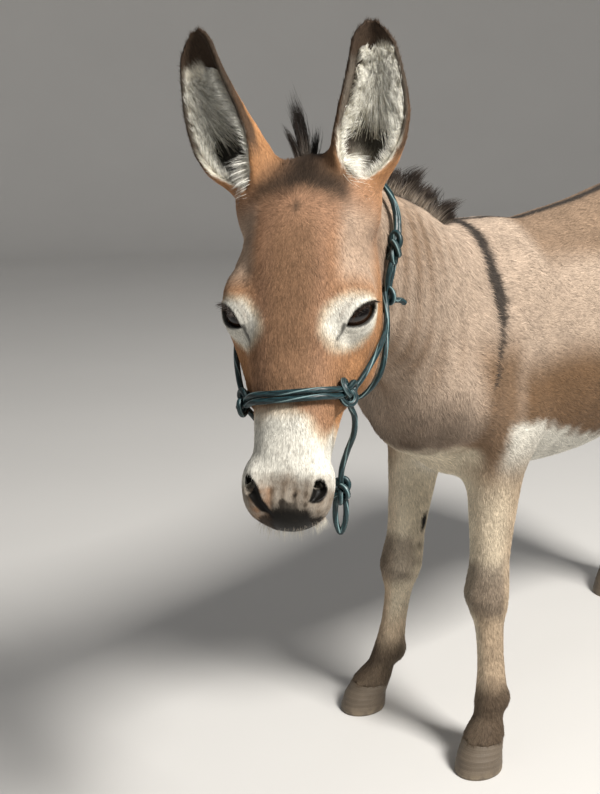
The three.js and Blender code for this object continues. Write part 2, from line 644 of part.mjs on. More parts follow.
const cheekRope = (s) => rope([[NOSE_KNOT[s][0] - 3, 15], [262, 5], [215, -12], [170, -24], [134, -32]], s);

function throatRope() {
  const half = [[134, -36], [165, -37], [200, -38], [232, -43], [254, -56], [264, -72]];
  return rope([...half, [268, -90], ...[...half].reverse().map(([u, turn]) => [u, 180 - turn])]);
}

/** Strands from the side knots to the knot under the chin, and the loop that hangs from it. */
function chinSolid() {
  const knot = SKULL.point([391, 47, -137]);
  const slack = [[300, 68, -54], [312, 72, -70], [329, 69, -87], [348, 58, -106], [368, 49, -124]];
  const left = [ropePoint([290, 14]), ...slack.map((q) => SKULL.point(q)), knot];
  const right = [...mirrored([[302, 10], [326, -20], [352, -48]], -1).map((q) => ropePoint(q)), knot];
  const hang = (bulge) => [[0, 0, 0], [bulge, -bulge / 2, -22], [bulge, -bulge / 2, -44], [0, 0, -60]]
    .map((drop) => add(knot, drop));
  const ropes = [left, right, hang(7), hang(-7)].map((points) => ropeSolid(points));
  return union([...ropes, knotSolid(knot, [13, 9, 9])]);
}

// ---------------------------------------------------------------- the parts

const MATERIALS = {
  coat: { color: 0x8f7464, roughness: 0.75, metalness: 0 },
  face: { color: 0x8a5f49, roughness: 0.75, metalness: 0 },
  hair: { color: 0x3a2d29, roughness: 0.7, metalness: 0 },
  hoof: { color: 0x54463f, roughness: 0.6, metalness: 0 },
  eye: { color: 0x1d120d, roughness: 0.08, metalness: 0 },
  rope: { color: 0x1d4a48, roughness: 0.8, metalness: 0 },
};

const animal = new THREE.Group();

function part(name, shape, kind) {
  const geometry = shape.isBufferGeometry ? shape : geometryOf(largest(shape));
  const mesh = new THREE.Mesh(geometry, new THREE.MeshStandardMaterial(MATERIALS[kind]));
  mesh.name = name;
  animal.add(mesh);
}

const grownSkull = skullSolid(GAP), grownTorso = torsoSolid(GAP);
const grownEars = SIDES.map((side) => earSolid(side, GAP));
const dressedHead = [grownSkull, grownTorso, ...grownEars];
const legs = SIDES.flatMap((s) => [legSolid(foreLeg(s), FORE_HEIGHTS), legSolid(hindLeg(s), HIND_HEIGHTS)]);
const body = legs.reduce((a, b) => a.add(b), torsoSolid());

/** Space below a leg's seam, on one side, lowered by extra. */
function belowSeam({ point, normal, from, to }, side, extra = 0) {
  const lengthways = new THREE.BoxGeometry(600, to - from, 1000);
  lengthways.translate(side * 300, (from + to) / 2, 0);
  return beyond(add(point, normal, -extra), scale(normal, -1)).intersect(solid(lengthways));
}

const seam = (() => {
  const [yTop, zTop, yLow, zLow, x] = TORSO_PLANES[NECK_ROOT];
  const normal = cross([1, 0, 0], unit([0, yTop - yLow, zTop - zLow]));
  const point = [x, (yTop + yLow) / 2, (zTop + zLow) / 2];
  return { point, normal: normal[1] < 0 ? normal : scale(normal, -1) };
})();
const legSeams = SIDES.flatMap((side) => [[FORE_SEAM, side], [HIND_SEAM, side]]);

const ahead = beyond(seam.point, seam.normal);
part('trunk', clear(body, [ahead, ...legSeams.map(([cut, side]) => belowSeam(cut, side))]), 'coat');
const behind = beyond(add(seam.point, seam.normal, GAP), scale(seam.normal, -1));
part('neck', clear(body, [behind, grownSkull]), 'coat');

const hollows = SIDES.flatMap((side) => [solid(eyeGeometry(side, GAP)), slitSolid(side), nostrilSolid(side)]);
part('head', clear(skullSolid(), [mouthSolid(), ...hollows]), 'face');

for (const side of SIDES) {
  const name = side > 0 ? 'left' : 'right';
  part(`eye_${name}`, eyeGeometry(side), 'eye');
  part(`ear_${name}`, clear(earSolid(side), [grownTorso, grownSkull]), 'face');
  part(`foreleg_${name}`, body.intersect(belowSeam(FORE_SEAM, side, GAP)), 'coat');
  part(`hindleg_${name}`, body.intersect(belowSeam(HIND_SEAM, side, GAP)), 'coat');
  part(`hoof_fore_${name}`, hoofGeometry(FORE[side]), 'hoof');
  part(`hoof_hind_${name}`, hoofGeometry(HIND[side]), 'hoof');
}

part('tail', tailSolid(TAIL_TOP, SWITCH_TOP, 8).subtract(grownTorso), 'coat');
part('tail_switch', tailSolid(SWITCH_TOP - GAP, TAIL_TIP, 8), 'hair');
part('mane', clear(maneSolid(), [...dressedHead, crownSolid(GAP)]), 'hair');
part('forelock', clear(forelockSolid(), dressedHead), 'hair');

part('halter_noseband', clear(nosebandSolid(), [grownSkull]), 'rope');
part('halter_crown', clear(crownSolid(), dressedHead), 'rope');
const knots = [nosebandSolid(GAP), crownSolid(GAP)];
for (const side of SIDES) {
  part(`halter_cheek_${side > 0 ? 'left' : 'right'}`, clear(cheekRope(side), [grownSkull, ...knots]), 'rope');
}
part('halter_throat', clear(throatRope(), [grownSkull, grownTorso, ...knots]), 'rope');
part('halter_chin', clear(chinSolid(), [grownSkull, ...knots]), 'rope');

// The origin stands on the ground under the middle of the whole.
const bounds = new THREE.Box3().setFromObject(animal);
const middle = bounds.getCenter(new THREE.Vector3());
animal.children.forEach((mesh) => mesh.geometry.translate(-middle.x, -middle.y, 0));

export default animal;
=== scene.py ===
"""A standing donkey in a rope halter: skin, coat, mane, eyes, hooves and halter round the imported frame."""
from concurrent.futures import ThreadPoolExecutor

import bpy
import numpy as np
from bpy.props import FloatProperty, FloatVectorProperty, PointerProperty
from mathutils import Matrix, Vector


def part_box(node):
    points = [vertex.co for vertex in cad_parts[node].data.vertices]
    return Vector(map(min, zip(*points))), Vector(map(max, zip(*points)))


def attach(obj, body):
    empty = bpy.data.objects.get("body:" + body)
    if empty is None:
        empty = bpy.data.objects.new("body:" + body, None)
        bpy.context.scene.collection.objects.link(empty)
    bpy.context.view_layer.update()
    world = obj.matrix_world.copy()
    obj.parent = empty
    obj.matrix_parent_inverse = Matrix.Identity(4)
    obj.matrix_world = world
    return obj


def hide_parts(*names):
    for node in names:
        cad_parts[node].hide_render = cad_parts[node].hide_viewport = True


bl_info = {
    "name": "Donkey",
    "version": (1, 0, 0),
    "blender": (4, 5, 0),
    "location": "View3D > Sidebar > Donkey",
    "description": "Skin, coat, eyes, hooves and rope halter of a life-size donkey",
    "category": "Object",
}

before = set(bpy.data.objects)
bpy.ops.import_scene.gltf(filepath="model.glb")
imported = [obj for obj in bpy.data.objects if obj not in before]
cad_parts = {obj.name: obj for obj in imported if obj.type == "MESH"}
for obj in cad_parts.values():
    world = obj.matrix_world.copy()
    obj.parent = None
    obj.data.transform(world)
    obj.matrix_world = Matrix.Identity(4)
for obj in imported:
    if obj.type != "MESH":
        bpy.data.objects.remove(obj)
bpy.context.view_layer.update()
WORKERS = ThreadPoolExecutor(4)

# Shapes are worked out in millimetres, +Z up, facing -Y, the animal's left +X, the withers over the origin.
MM = 0.001
HOOF_CORNER = np.array([80.0, -146.0, 0.0])        # lowest corner of the left fore hoof in that frame
SHIFT = np.array(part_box("hoof_fore_left")[0]) / MM - HOOF_CORNER
SIDE_NAMES = {1: "left", -1: "right"}
SIDES = tuple(SIDE_NAMES)
AROUND = 2 * np.pi
FAR = 1000.0


def to_frame(points):
    """Design millimetres to metres in the row frame."""
    return (np.asarray(points) + SHIFT) * MM


# ---------------------------------------------------------------- numbers and vectors

def unit(v):
    """v over its length, row by row."""
    v = np.asarray(v, float)
    return v / np.maximum(np.linalg.norm(v, axis=-1, keepdims=True), 1e-9)


def smooth(low, high, x):
    """0 below low, 1 above high, and 3t2 - 2t3 between."""
    t = np.clip((x - low) / (high - low), 0, 1)
    return t * t * (3 - 2 * t)


def near(x, middle, half, soft):
    """1 within half of middle, falling to 0 over soft."""
    return 1 - smooth(half, half + soft, np.abs(x - middle))


def mix(a, b, t):
    """a where t is 0 and b where it is 1; t is a number for each row."""
    return a + (b - a) * np.asarray(t)[..., None]


def soft_min(a, b, blend):
    """The lower of a and b, rounded where they are within blend of each other."""
    h = np.maximum(blend - np.abs(a - b), 0) / blend
    return np.minimum(a, b) - h * h * blend * 0.25


def soft_max(a, b, blend):
    """The higher of a and b, rounded in the same way."""
    return -soft_min(-a, -b, blend)


def along_path(path, width, steps=24):
    """Places along a path of points with the path's width at each."""
    knots = np.arange(len(path))
    t = np.linspace(0, len(path) - 1, steps)
    places = np.stack([np.interp(t, knots, c) for c in np.transpose(path)], 1)
    return zip(places, np.interp(t, knots, width[:, 0]))


def from_path(q, path):
    """The distance of each row of q from a line through the points of path."""
    path = np.asarray(path, float)
    nearest = np.full(len(q), FAR)
    for a, b in zip(path[:-1], path[1:]):
        t = np.clip((q - a) @ (b - a) / ((b - a) @ (b - a)), 0, 1)[:, None]
        nearest = np.minimum(nearest, np.linalg.norm(q - a - t * (b - a), axis=1))
    return nearest


def ripple(p, size, seed=0.0):
    """Smooth wandering values from -1 to 1: sines of three slanted coordinates, each bent by the next."""
    a, b, c = (np.asarray(p, float) / size).T
    first = np.sin(1.7 * a + 0.8 * np.sin(1.3 * b + seed) + seed)
    second = np.sin(1.4 * b + 0.9 * np.sin(1.6 * c + 2 * seed) + 1.3)
    third = np.sin(1.9 * c + 0.7 * np.sin(1.1 * a + 3 * seed) + 2.1)
    return (first + second + third) / 3


def hermite(t, knots, rows):
    """Rows at t on a smooth curve through (knots, rows), held straight at its ends."""
    slope = np.empty_like(rows)
    slope[1:-1] = (rows[2:] - rows[:-2]) / (knots[2:] - knots[:-2])[:, None]
    slope[0] = (rows[1] - rows[0]) / (knots[1] - knots[0])
    slope[-1] = (rows[-1] - rows[-2]) / (knots[-1] - knots[-2])
    i = np.clip(np.searchsorted(knots, t) - 1, 0, len(knots) - 2)
    gap = (knots[i + 1] - knots[i])[:, None]
    f = (t - knots[i])[:, None] / gap
    start = rows[i] * (1 + 2 * f) * (1 - f) ** 2 + slope[i] * gap * f * (1 - f) ** 2
    return start + rows[i + 1] * f * f * (3 - 2 * f) + slope[i + 1] * gap * f * f * (f - 1)


class Place:
    """A local frame: an origin and three unit axes."""

    def __init__(self, origin, axes):
        self.origin = np.asarray(origin, float)
        self.axes = np.asarray(axes, float)

    def point(self, q):
        return self.origin + np.asarray(q, float) @ self.axes

    def direction(self, q):
        return np.asarray(q, float) @ self.axes

    def local(self, p):
        return (p - self.origin) @ self.axes.T


WORLD = Place((0, 0, 0), np.eye(3))


def turn(axis, degrees):
    """Axes turned by degrees about axis 0, 1 or 2."""
    c, s = np.cos(np.radians(degrees)), np.sin(np.radians(degrees))
    i, j = ((1, 2), (2, 0), (0, 1))[axis]
    axes = np.eye(3)
    axes[i, i] = axes[j, j] = c
    axes[i, j] = s
    axes[j, i] = -s
    return axes


# ---------------------------------------------------------------- masses

class Ball:
    """An ellipsoid: its distance is k0 (k0 - 1) / k1, with k0 = |p / r| and k1 = |p / r2|."""

    def __init__(self, centre, radii, blend=30, place=WORLD, axes=np.eye(3), cut=False):
        self.radii = np.asarray(radii, float)
        self.axes = axes @ place.axes
        self.centre = place.point(centre)
        self.blend = blend
        self.reach = self.radii.max()
        self.cut = cut

    def __call__(self, p):
        a = (p - self.centre) @ self.axes.T / self.radii
        b = a / self.radii
        k0 = np.sqrt((a * a).sum(1))
        return k0 * (k0 - 1) / np.maximum(np.sqrt((b * b).sum(1)), 1e-9)


class Tube:
    """Oval sections across one axis of a place, on a smooth curve, with rounded ends.

    A row is x, y, z, then the half sizes along the first and second other axis. The distance is a
    ball's, measured from the nearest section.
    """

    def __init__(self, rows, axis, blend=30, place=WORLD, power=2, caps=None, cut=False):
        rows = np.array([row if len(row) == 5 else (*row, row[3]) for row in rows], float)
        rows = rows[np.argsort(rows[:, axis])]
        self.place, self.axis, self.blend, self.power, self.cut = place, axis, blend, power, cut
        self.others = [i for i in range(3) if i != axis]
        self.knots = rows[:, axis].copy()
        self.rows = rows[:, [*self.others, 3, 4]].copy()
        self.caps = caps or (rows[0, 3:].min(), rows[-1, 3:].min())
        places = place.point(rows[:, :3])
        self.centre = (places.min(0) + places.max(0)) / 2
        ends = np.maximum(rows[:, 3:].max(1), max(self.caps))
        self.reach = (np.linalg.norm(places - self.centre, axis=1) + ends).max()

    def middle(self, q):
        """The nearest section to each local point: its place along the axis, and its row."""
        t = np.clip(q[:, self.axis], self.knots[0], self.knots[-1])
        return t, hermite(t, self.knots, self.rows)

    def __call__(self, p):
        q = self.place.local(p)
        t, row = self.middle(q)
        x, y = q[:, self.others[0]] - row[:, 0], q[:, self.others[1]] - row[:, 1]
        z = q[:, self.axis] - t
        w, h = row[:, 2], row[:, 3]
        c = np.where(z < 0, *self.caps)
        if self.power == 2:
            k0 = np.sqrt((x / w) ** 2 + (y / h) ** 2 + (z / c) ** 2)
            k1 = np.sqrt((x / w ** 2) ** 2 + (y / h ** 2) ** 2 + (z / c ** 2) ** 2)
            return np.maximum(k0 * (k0 - 1) / np.maximum(k1, 1e-9), -np.minimum(w, h))
        n = self.power
        k = ((np.abs(x) / w) ** n + (np.abs(y) / h) ** n + (np.abs(z) / c) ** n) ** (1 / n)
        return (k - 1) * np.minimum(w, h)


class Field:
    """Masses blended in order: below zero is inside."""

    def __init__(self, masses):
        self.masses = masses

    def close_to(self, centre, reach):
        """Only the masses that matter within reach of centre."""
        return Field([m for m in self.masses
                      if np.linalg.norm(m.centre - centre) - m.reach < reach + 2.2 * m.blend])

    def __call__(self, p):
        d = np.full(len(p), FAR)
        for m in self.masses:
            if m.cut:
                d = soft_max(d, -m(p), m.blend)
            else:
                d = soft_min(d, m(p), m.blend)
        return d

    def gradient(self, p, step=0.5):
        """Central differences along the three axes."""
        shifts = np.eye(3) * step
        return np.stack([(self(p + s) - self(p - s)) / (2 * step) for s in shifts], 1)


# ---------------------------------------------------------------- the animal

HEAD = {"nape": (80.6, -511.2, 1032), "yaw": 28, "drop": 30.5, "roll": 3.4}
FORE = {1: {"elbow": (70, -5), "knee": (91, -50), "fetlock": (112, -56), "coronet": (116, -84),
            "toe": (118, -93)},
        -1: {"elbow": (-94, 0), "knee": (-103, -35), "fetlock": (-138, -24), "coronet": (-160, -48),
             "toe": (-167, -57)}}
HIND = {1: {"hock": (94, 728), "fetlock": (96, 705), "coronet": (98, 672), "toe": (98, 663)},
        -1: {"hock": (-88, 790), "fetlock": (-82, 800), "coronet": (-80, 765), "toe": (-80, 756)}}
EARS = {1: {"root": (118, -455, 1004), "tip": (137, -444, 1212), "facing": (0.62, -0.78, 0), "bow": -15},
        -1: {"root": (18, -520, 1004), "tip": (-65, -562, 1202), "facing": (0.18, -1, 0), "bow": 22}}
EYE = {"at": (188, 70, -29.5), "aim": (0.33, 0.71, 0.63), "radii": (27, 22, 22), "slit": 49.5,
       "half": 25, "upper": 11, "lower": 10, "lid": 4.5}
# each nostril from its upper end to its slit in the head's frame, v outwards, with its radius
NOSTRIL = {1: ((411, 43, -17, 5.5), (418, 45, -18, 7), (425, 43, -16, 6), (431, 38, -14, 3),
               (435, 33, -13, 1.8)),
           -1: ((405, 43, -17, 4.2), (413, 41.5, -12, 5.6), (422, 38, -10, 6.2), (432, 33, -11, 5.6),
                (442, 24, -16, 4.8), (449, 15, -20, 2.6))}


def head_place(nape, yaw, drop, roll):
    """u runs down the face from the poll, v to the animal's left, w out of the forehead."""
    yaw, drop, roll = np.radians((yaw, drop, roll))
    ahead = np.array([np.sin(yaw), -np.cos(yaw), 0])
    left = np.array([np.cos(yaw), np.sin(yaw), 0])
    up = np.array([0, 0, 1])
    down = np.sin(drop) * ahead - np.cos(drop) * up
    brow = np.cos(drop) * ahead + np.sin(drop) * up
    c, s = np.cos(roll), np.sin(roll)
    return Place(nape, [c * down + s * left, c * left - s * down, brow])


SKULL = head_place(**HEAD)


def eye_place(side):
    """x along the slit to the outer corner, y up the lid, z outwards."""
    out = unit((EYE["aim"][0], side * EYE["aim"][1], EYE["aim"][2]))
    up = unit(np.array((-1.0, 0, 0)) + out[0] * out)
    back = np.cross(up, out)
    back = back if back[2] < 0 else -back
    c, s = np.cos(np.radians(EYE["slit"])), np.sin(np.radians(EYE["slit"]))
    u, v, w = EYE["at"]
    axes = np.array([c * back + s * up, c * up - s * back, out]) @ SKULL.axes
    return Place(SKULL.point((u, side * v, w)), axes)


EYES = {side: eye_place(side) for side in SIDES}


def across_eye(q):
    """How far a point in the eye's frame is outside the lids' slit: two arcs that meet at its ends."""
    half, up, low = EYE["half"], EYE["upper"], EYE["lower"]
    high = (half ** 2 + up ** 2) / (2 * up)
    deep = (half ** 2 + low ** 2) / (2 * low)
    upper = np.hypot(q[:, 0], q[:, 1] + high - up) - high
    return np.maximum(upper, np.hypot(q[:, 0], q[:, 1] - deep + low) - deep)


class Slit:
    """The opening between the lids, in front of the eye."""

    cut = True
    blend = 4
    floor = 6                     # where the opening ends behind, from the eye's centre

    def __init__(self, place):
        self.place = place
        self.centre = place.point((0, 0, 20))
        self.reach = EYE["half"] + 14

    def __call__(self, p):
        q = self.place.local(p)
        return np.maximum(across_eye(q), self.floor - q[:, 2])


class Ear:
    """A leaf rolled round its long axis: arcs whose open side faces the front."""

    cut = False
    blend = 20
    start = -0.15
    # fraction of the length, half width, half gap in degrees, half wall, depth behind the axis
    rows = np.array([
        (-0.15, 27, 20, 6, 27), (0, 28, 22, 6, 29), (0.1, 34, 40, 5, 32), (0.2, 40, 60, 4.6, 34),
        (0.35, 43, 82, 4.2, 34), (0.5, 42.5, 98, 3.9, 30), (0.65, 37, 106, 3.6, 24), (0.8, 30, 112, 3.3, 17),
        (0.9, 25, 118, 3.1, 13), (0.96, 17, 122, 3, 10), (1, 7, 126, 3, 8)])

    def __init__(self, root, tip, facing, bow):
        root, tip = np.array(root, float), np.array(tip, float)
        self.length = np.linalg.norm(tip - root)
        along = (tip - root) / self.length
        front = unit(np.array(facing) - (facing @ along) * along)
        self.place = Place(root, [np.cross(front, along), front, along])
        self.bow = bow
        self.centre = (root + tip) / 2
        self.reach = self.length / 2 + 60

    def section(self, t):
        """At fraction t: radius, half gap, half wall, and the arc's centre across and to the front."""
        width, gap, wall, back = (np.interp(t, self.rows[:, 0], column) for column in self.rows[:, 1:].T)
        gap = np.radians(gap)
        radius = width / np.where(gap < np.pi / 2, 1, np.sin(gap))
        return radius, gap, wall, self.bow * np.sin(np.pi * np.clip(t, 0, 1)), radius - back

    def polar(self, p):
        """Fraction of the length, angle from the front, distance from the arc's centre, and the section."""
        q = self.place.local(p)
        t = q[:, 2] / self.length
        section = self.section(np.clip(t, self.start, 1))
        x, y = q[:, 0] - section[3], q[:, 1] - section[4]
        return t, np.arctan2(x, y), np.hypot(x, y), x, y, section

    def __call__(self, p):
        t, angle, distance, x, y, (radius, gap, wall, _, _) = self.polar(p)
        edge = np.hypot(np.abs(x) - radius * np.sin(gap), y - radius * np.cos(gap))
        d = np.where(np.abs(angle) > gap, np.abs(distance - radius), edge)
        beyond = np.maximum(np.maximum(t - 1, self.start - t) * self.length, 0)
        return np.hypot(d, beyond) - wall

    def inner(self, t, angle):
        """Points on the inner wall."""
        radius, _, wall, x, y = self.section(t)
        r = radius - wall
        return self.place.point(np.stack([x + r * np.sin(angle), y + r * np.cos(angle), t * self.length], -1))


def trunk_masses():
    """The barrel, the spine's ridge, and the muscles of the shoulders and haunches."""
    # y, top, bottom, half width
    rows = ((-150, 770, 575, 72), (-90, 848, 515, 100), (-20, 888, 487, 120), (80, 896, 482, 142),
            (200, 908, 472, 162), (320, 920, 472, 170), (440, 936, 495, 163), (540, 944, 545, 150),
            (630, 926, 605, 128), (695, 888, 660, 95))
    barrel = Tube([(0, y, (top + low) / 2, w, (top - low) / 2) for y, top, low, w in rows], 1,
                  power=2.15, caps=(70, 70))
    spine = Tube(((0, 110, 864, 24, 34), (0, 240, 878, 25, 34), (0, 370, 896, 26, 34), (0, 490, 918, 28, 36),
                  (0, 590, 920, 28, 36), (0, 690, 884, 26, 34)), 1, 60, caps=(60, 60))
    masses = [barrel, Ball((0, -10, 838), (32, 110, 46), 60), spine, Ball((0, -135, 640), (86, 60, 80), 50)]
    for s in SIDES:
        masses += [
            Ball((s * 78, -35, 722), (44, 78, 150), 45, axes=turn(0, -32)),      # shoulder blade
            Ball((s * 86, -118, 655), (42, 50, 58), 40),                         # point of the shoulder
            Ball((s * 90, -15, 600), (42, 72, 78), 40),                          # upper arm
            Ball((s * 72, 570, 846), (70, 128, 74), 60),                         # rump
            Ball((s * 92, 640, 705), (66, 120, 165), 50, axes=turn(0, 12)),      # thigh
            Ball((s * 102, 535, 605), (46, 72, 80), 45),                         # stifle
        ]
    return masses


def neck_masses():
    """One run of sections from the chest to the poll: x, y, z, half width, half depth."""
    rows = ((0, 10, 735, 88, 162), (4, -110, 770, 84, 158), (18, -210, 822, 74, 148),
            (40, -310, 868, 66, 128), (62, -395, 905, 62, 112), (80, -470, 945, 60, 92))
    return [Tube(rows, 1, 60, power=2.1, caps=(40, 110))]


def bone(start, end, rows):
    """Sections between two joints: fraction, half width, half depth, shift back."""
    start, end = np.array(start, float), np.array(end, float)
    return [(*(start + (end - start) * t + (0, back, 0)), w, d) for t, w, d, back in rows]


def foreleg_masses(side):
    """One run of sections from the elbow to the coronet, and the fetlock's swelling behind."""
    place = FORE[side]
    elbow, knee = (*place["elbow"], 580), (*place["knee"], 300)
    fetlock, coronet = (*place["fetlock"], 112), (*place["coronet"], 54)
    rows = bone(elbow, knee, ((0, 44, 70, 0), (0.22, 43, 62, 0), (0.5, 36, 48, 0), (0.78, 31, 38, 0),
                              (0.92, 35, 38, -2)))
    rows += bone(knee, fetlock, ((0, 36, 40, -3), (0.13, 31, 36, 0), (0.3, 22, 29, 2), (0.6, 20, 26, 2),
                                 (0.83, 23, 28, 1), (1, 27, 33, 0)))
    rows += bone(fetlock, coronet, ((0.4, 24, 27, 0), (0.8, 30, 35, 0), (1, 33, 40, 0)))
    return [Tube(rows, 2, 30, caps=(12, 60)), Ball((fetlock[0], fetlock[1] + 22, 102), (17, 17, 20), 16)]


def hindleg_masses(side):
    """One run of sections from the stifle to the coronet, the tendon, the hock's point and the fetlock."""
    place = HIND[side]
    stifle, hock = (side * 104, 575, 620), (*place["hock"], 375)
    fetlock, coronet = (*place["fetlock"], 118), (*place["coronet"], 54)
    rows = bone(stifle, hock, ((0, 56, 90, 0), (0.3, 46, 72, -6), (0.6, 34, 50, -6), (0.85, 27, 38, -2),
                               (1, 29, 42, 2)))
    rows += bone(hock, fetlock, ((0.14, 28, 38, 3), (0.32, 22, 31, 0), (0.6, 21, 28, 0), (0.85, 24, 30, 0),
                                 (1, 27, 34, 0)))
    rows += bone(fetlock, coronet, ((0.4, 24, 27, 0), (0.8, 30, 34, 0), (1, 33, 39, 0)))
    tendon = bone(stifle, hock, ((0.25, 18, 26, 36), (0.41, 15, 24, 43), (0.53, 13, 23, 50),
                                 (0.65, 12, 24, 55), (0.78, 12, 25, 55), (0.9, 13, 20, 50)))
    return [Tube(rows, 2, 34, caps=(12, 90)), Tube(tendon, 2, 22, caps=(14, 20)),
            Ball((hock[0], hock[1] + 34, 395), (14, 17, 28), 22, axes=turn(0, -25)),
            Ball((fetlock[0], fetlock[1] + 22, 108), (17, 17, 20), 16)]


def tail_masses():
    # y, z, half width, half depth
    rows = ((700, 900, 28, 50), (742, 870, 26, 34), (764, 830, 22, 22), (776, 750, 19, 19),
            (781, 660, 16, 16), (784, 580, 14, 14), (786, 520, 12, 12), (787, 470, 8, 8))
    return [Tube([(0, *row) for row in rows], 2, 22)]


def head_masses():
    """The skull in its own frame, then the hollows of eyes, nostrils and mouth, cut last."""
    def skull_ball(centre, radii, blend, axes=np.eye(3), cut=False):
        return Ball(centre, radii, blend, SKULL, axes, cut)

    def skull_tube(rows, blend, power=2, caps=None, cut=False):
        return Tube(rows, 0, blend, SKULL, power, caps, cut)

    # u, w, half width, half depth
    face = ((10, -62, 56, 48), (50, -54, 70, 60), (100, -50, 80, 65), (150, -52, 82, 66), (200, -50, 76, 60),
            (250, -48, 62, 51), (300, -47, 52, 44), (350, -47, 47, 40), (400, -49, 47, 40),
            (420, -53, 42, 36))
    masses = [
        skull_tube([(u, 0, w, a, b) for u, w, a, b in face], 40, 2.4, (34, 34)),
        skull_ball((95, 0, -20), (80, 60, 37), 30),                              # forehead
        skull_ball((429, 0, -54), (28, 39, 34), 22),                             # upper lip
        skull_ball((419, 0, -94), (31, 28, 24), 14),                             # chin and lower lip
        skull_ball((30, 0, -75), (60, 56, 55), 40),                              # poll
    ]
    for s in SIDES:
        masses += [
            skull_ball((170, s * 60, -112), (92, 33, 66), 28, turn(1, 18)),      # cheek
            skull_tube([(120, s * 48, -165, 18, 24), (185, s * 47, -166, 19, 22), (265, s * 33, -138, 15, 17),
                        (340, s * 22, -112, 14, 15), (410, s * 12, -98, 14, 14)], 30),       # jaw
            skull_ball((176, s * 66, -40), (42, 26, 32), 24, turn(2, s * 8)),    # orbit
            skull_tube([(128, s * 68, -24, 12, 12), (150, s * 80, -20, 12, 12), (172, s * 84, -20, 10, 10),
                        (200, s * 74, -26, 9, 9)], 18),                          # brow
            skull_tube([(205, s * 74, -64, 11, 11), (245, s * 64, -68, 11, 11), (290, s * 53, -68, 9, 9)],
                       26),
            skull_ball((412, s * 36, -38), (32, 20, 28), 18, turn(2, s * -8)),   # nostril wing
            skull_ball((36, s * 58, -40), (36, 30, 36), 26),                     # ear base
            Ball((0, 0, 0), np.add(EYE["radii"], (EYE["lid"], EYE["lid"], 4)), 12, EYES[s]),
        ]
    masses.append(skull_tube([(150, 0, -140, 36, 34), (240, 0, -118, 30, 30), (340, 0, -96, 26, 26),
                              (415, 0, -82, 26, 22)], 30))
    for s in SIDES:
        masses += [
            Ball((0, 0, 0), np.add(EYE["radii"], 0.6), 1.5, EYES[s], cut=True),
            Slit(EYES[s]),
            skull_tube([(u, s * v, w, r) for u, v, w, r in NOSTRIL[s]], 5, cut=True),
            skull_tube([(400, s * 30, -38, 7, 7), (417, s * 44, -16, 5.5, 5.5)], 6, cut=True),
        ]
    masses.append(skull_ball((420, 0, -80), (46, 60, 1.6), 6, turn(1, -4), True))            # mouth
    return masses


EAR_LEAVES = {side: Ear(**EARS[side]) for side in SIDES}
PARTS = {
    "trunk": Field(trunk_masses()),
    "neck": Field(neck_masses()),
    "tail": Field(tail_masses()),
    "foreleg_left": Field(foreleg_masses(1)),
    "hindleg_left": Field(hindleg_masses(1)),
    "foreleg_right": Field(foreleg_masses(-1)),
    "hindleg_right": Field(hindleg_masses(-1)),
    "ear_left": Field([EAR_LEAVES[1]]),
    "ear_right": Field([EAR_LEAVES[-1]]),
    "head": Field(head_masses()),
}
BODY = Field([mass for part in PARTS.values() for mass in part.masses])


# ---------------------------------------------------------------- polygons of the body

BLOCK = 8                         # cells along the side of the small blocks that are kept or skipped
GROUP = 4                         # blocks along the side of one piece of work
NEIGHBOURS = 70                   # side in mm of the boxes whose points are settled together
SHARE = 3000                      # points in one piece of work


def sample(axes):
    """The field on a grid, worked out only in the blocks that the surface may cross."""
    out = np.full([len(a) for a in axes], FAR, np.float32)
    cells = BLOCK * GROUP
    corners = np.meshgrid(*[np.arange(0, len(a), cells) for a in axes], indexing="ij")
    corners = np.stack(corners, -1).reshape(-1, 3)
    step = max(a[1] - a[0] for a in axes)
    half = np.sqrt(3) * step * cells / 2
    small = np.sqrt(3) * step * BLOCK / 2

    def fill(corner):
        spans = [a[c:c + cells] for a, c in zip(axes, corner)]
        centre = np.array([(s[0] + s[-1]) / 2 for s in spans])
        field = BODY.close_to(centre, half)
        if not field.masses:
            return
        view = out[tuple(slice(c, c + cells) for c in corner)]
        blocks = [np.arange(0, len(s), BLOCK) for s in spans]
        starts = np.stack(np.meshgrid(*blocks, indexing="ij"), -1).reshape(-1, 3)
        middles = np.stack([s[0] + (starts[:, i] + BLOCK / 2 - 0.5) * step for i, s in enumerate(spans)], 1)
        values = field(middles)
        index = np.stack(np.meshgrid(*[np.arange(len(s)) for s in spans], indexing="ij"), -1)
        owner = np.ravel_multi_index(tuple((index // BLOCK).reshape(-1, 3).T), [len(b) for b in blocks])
        view[...] = values[owner].reshape(view.shape)
        crossed = (np.abs(values) < 1.5 * small + 8)[owner]
        if crossed.any():
            chosen = index.reshape(-1, 3)[crossed]
            points = np.stack([s[chosen[:, i]] for i, s in enumerate(spans)], 1)
            view[tuple(chosen.T)] = field(points)

    list(WORKERS.map(fill, corners))
    return out


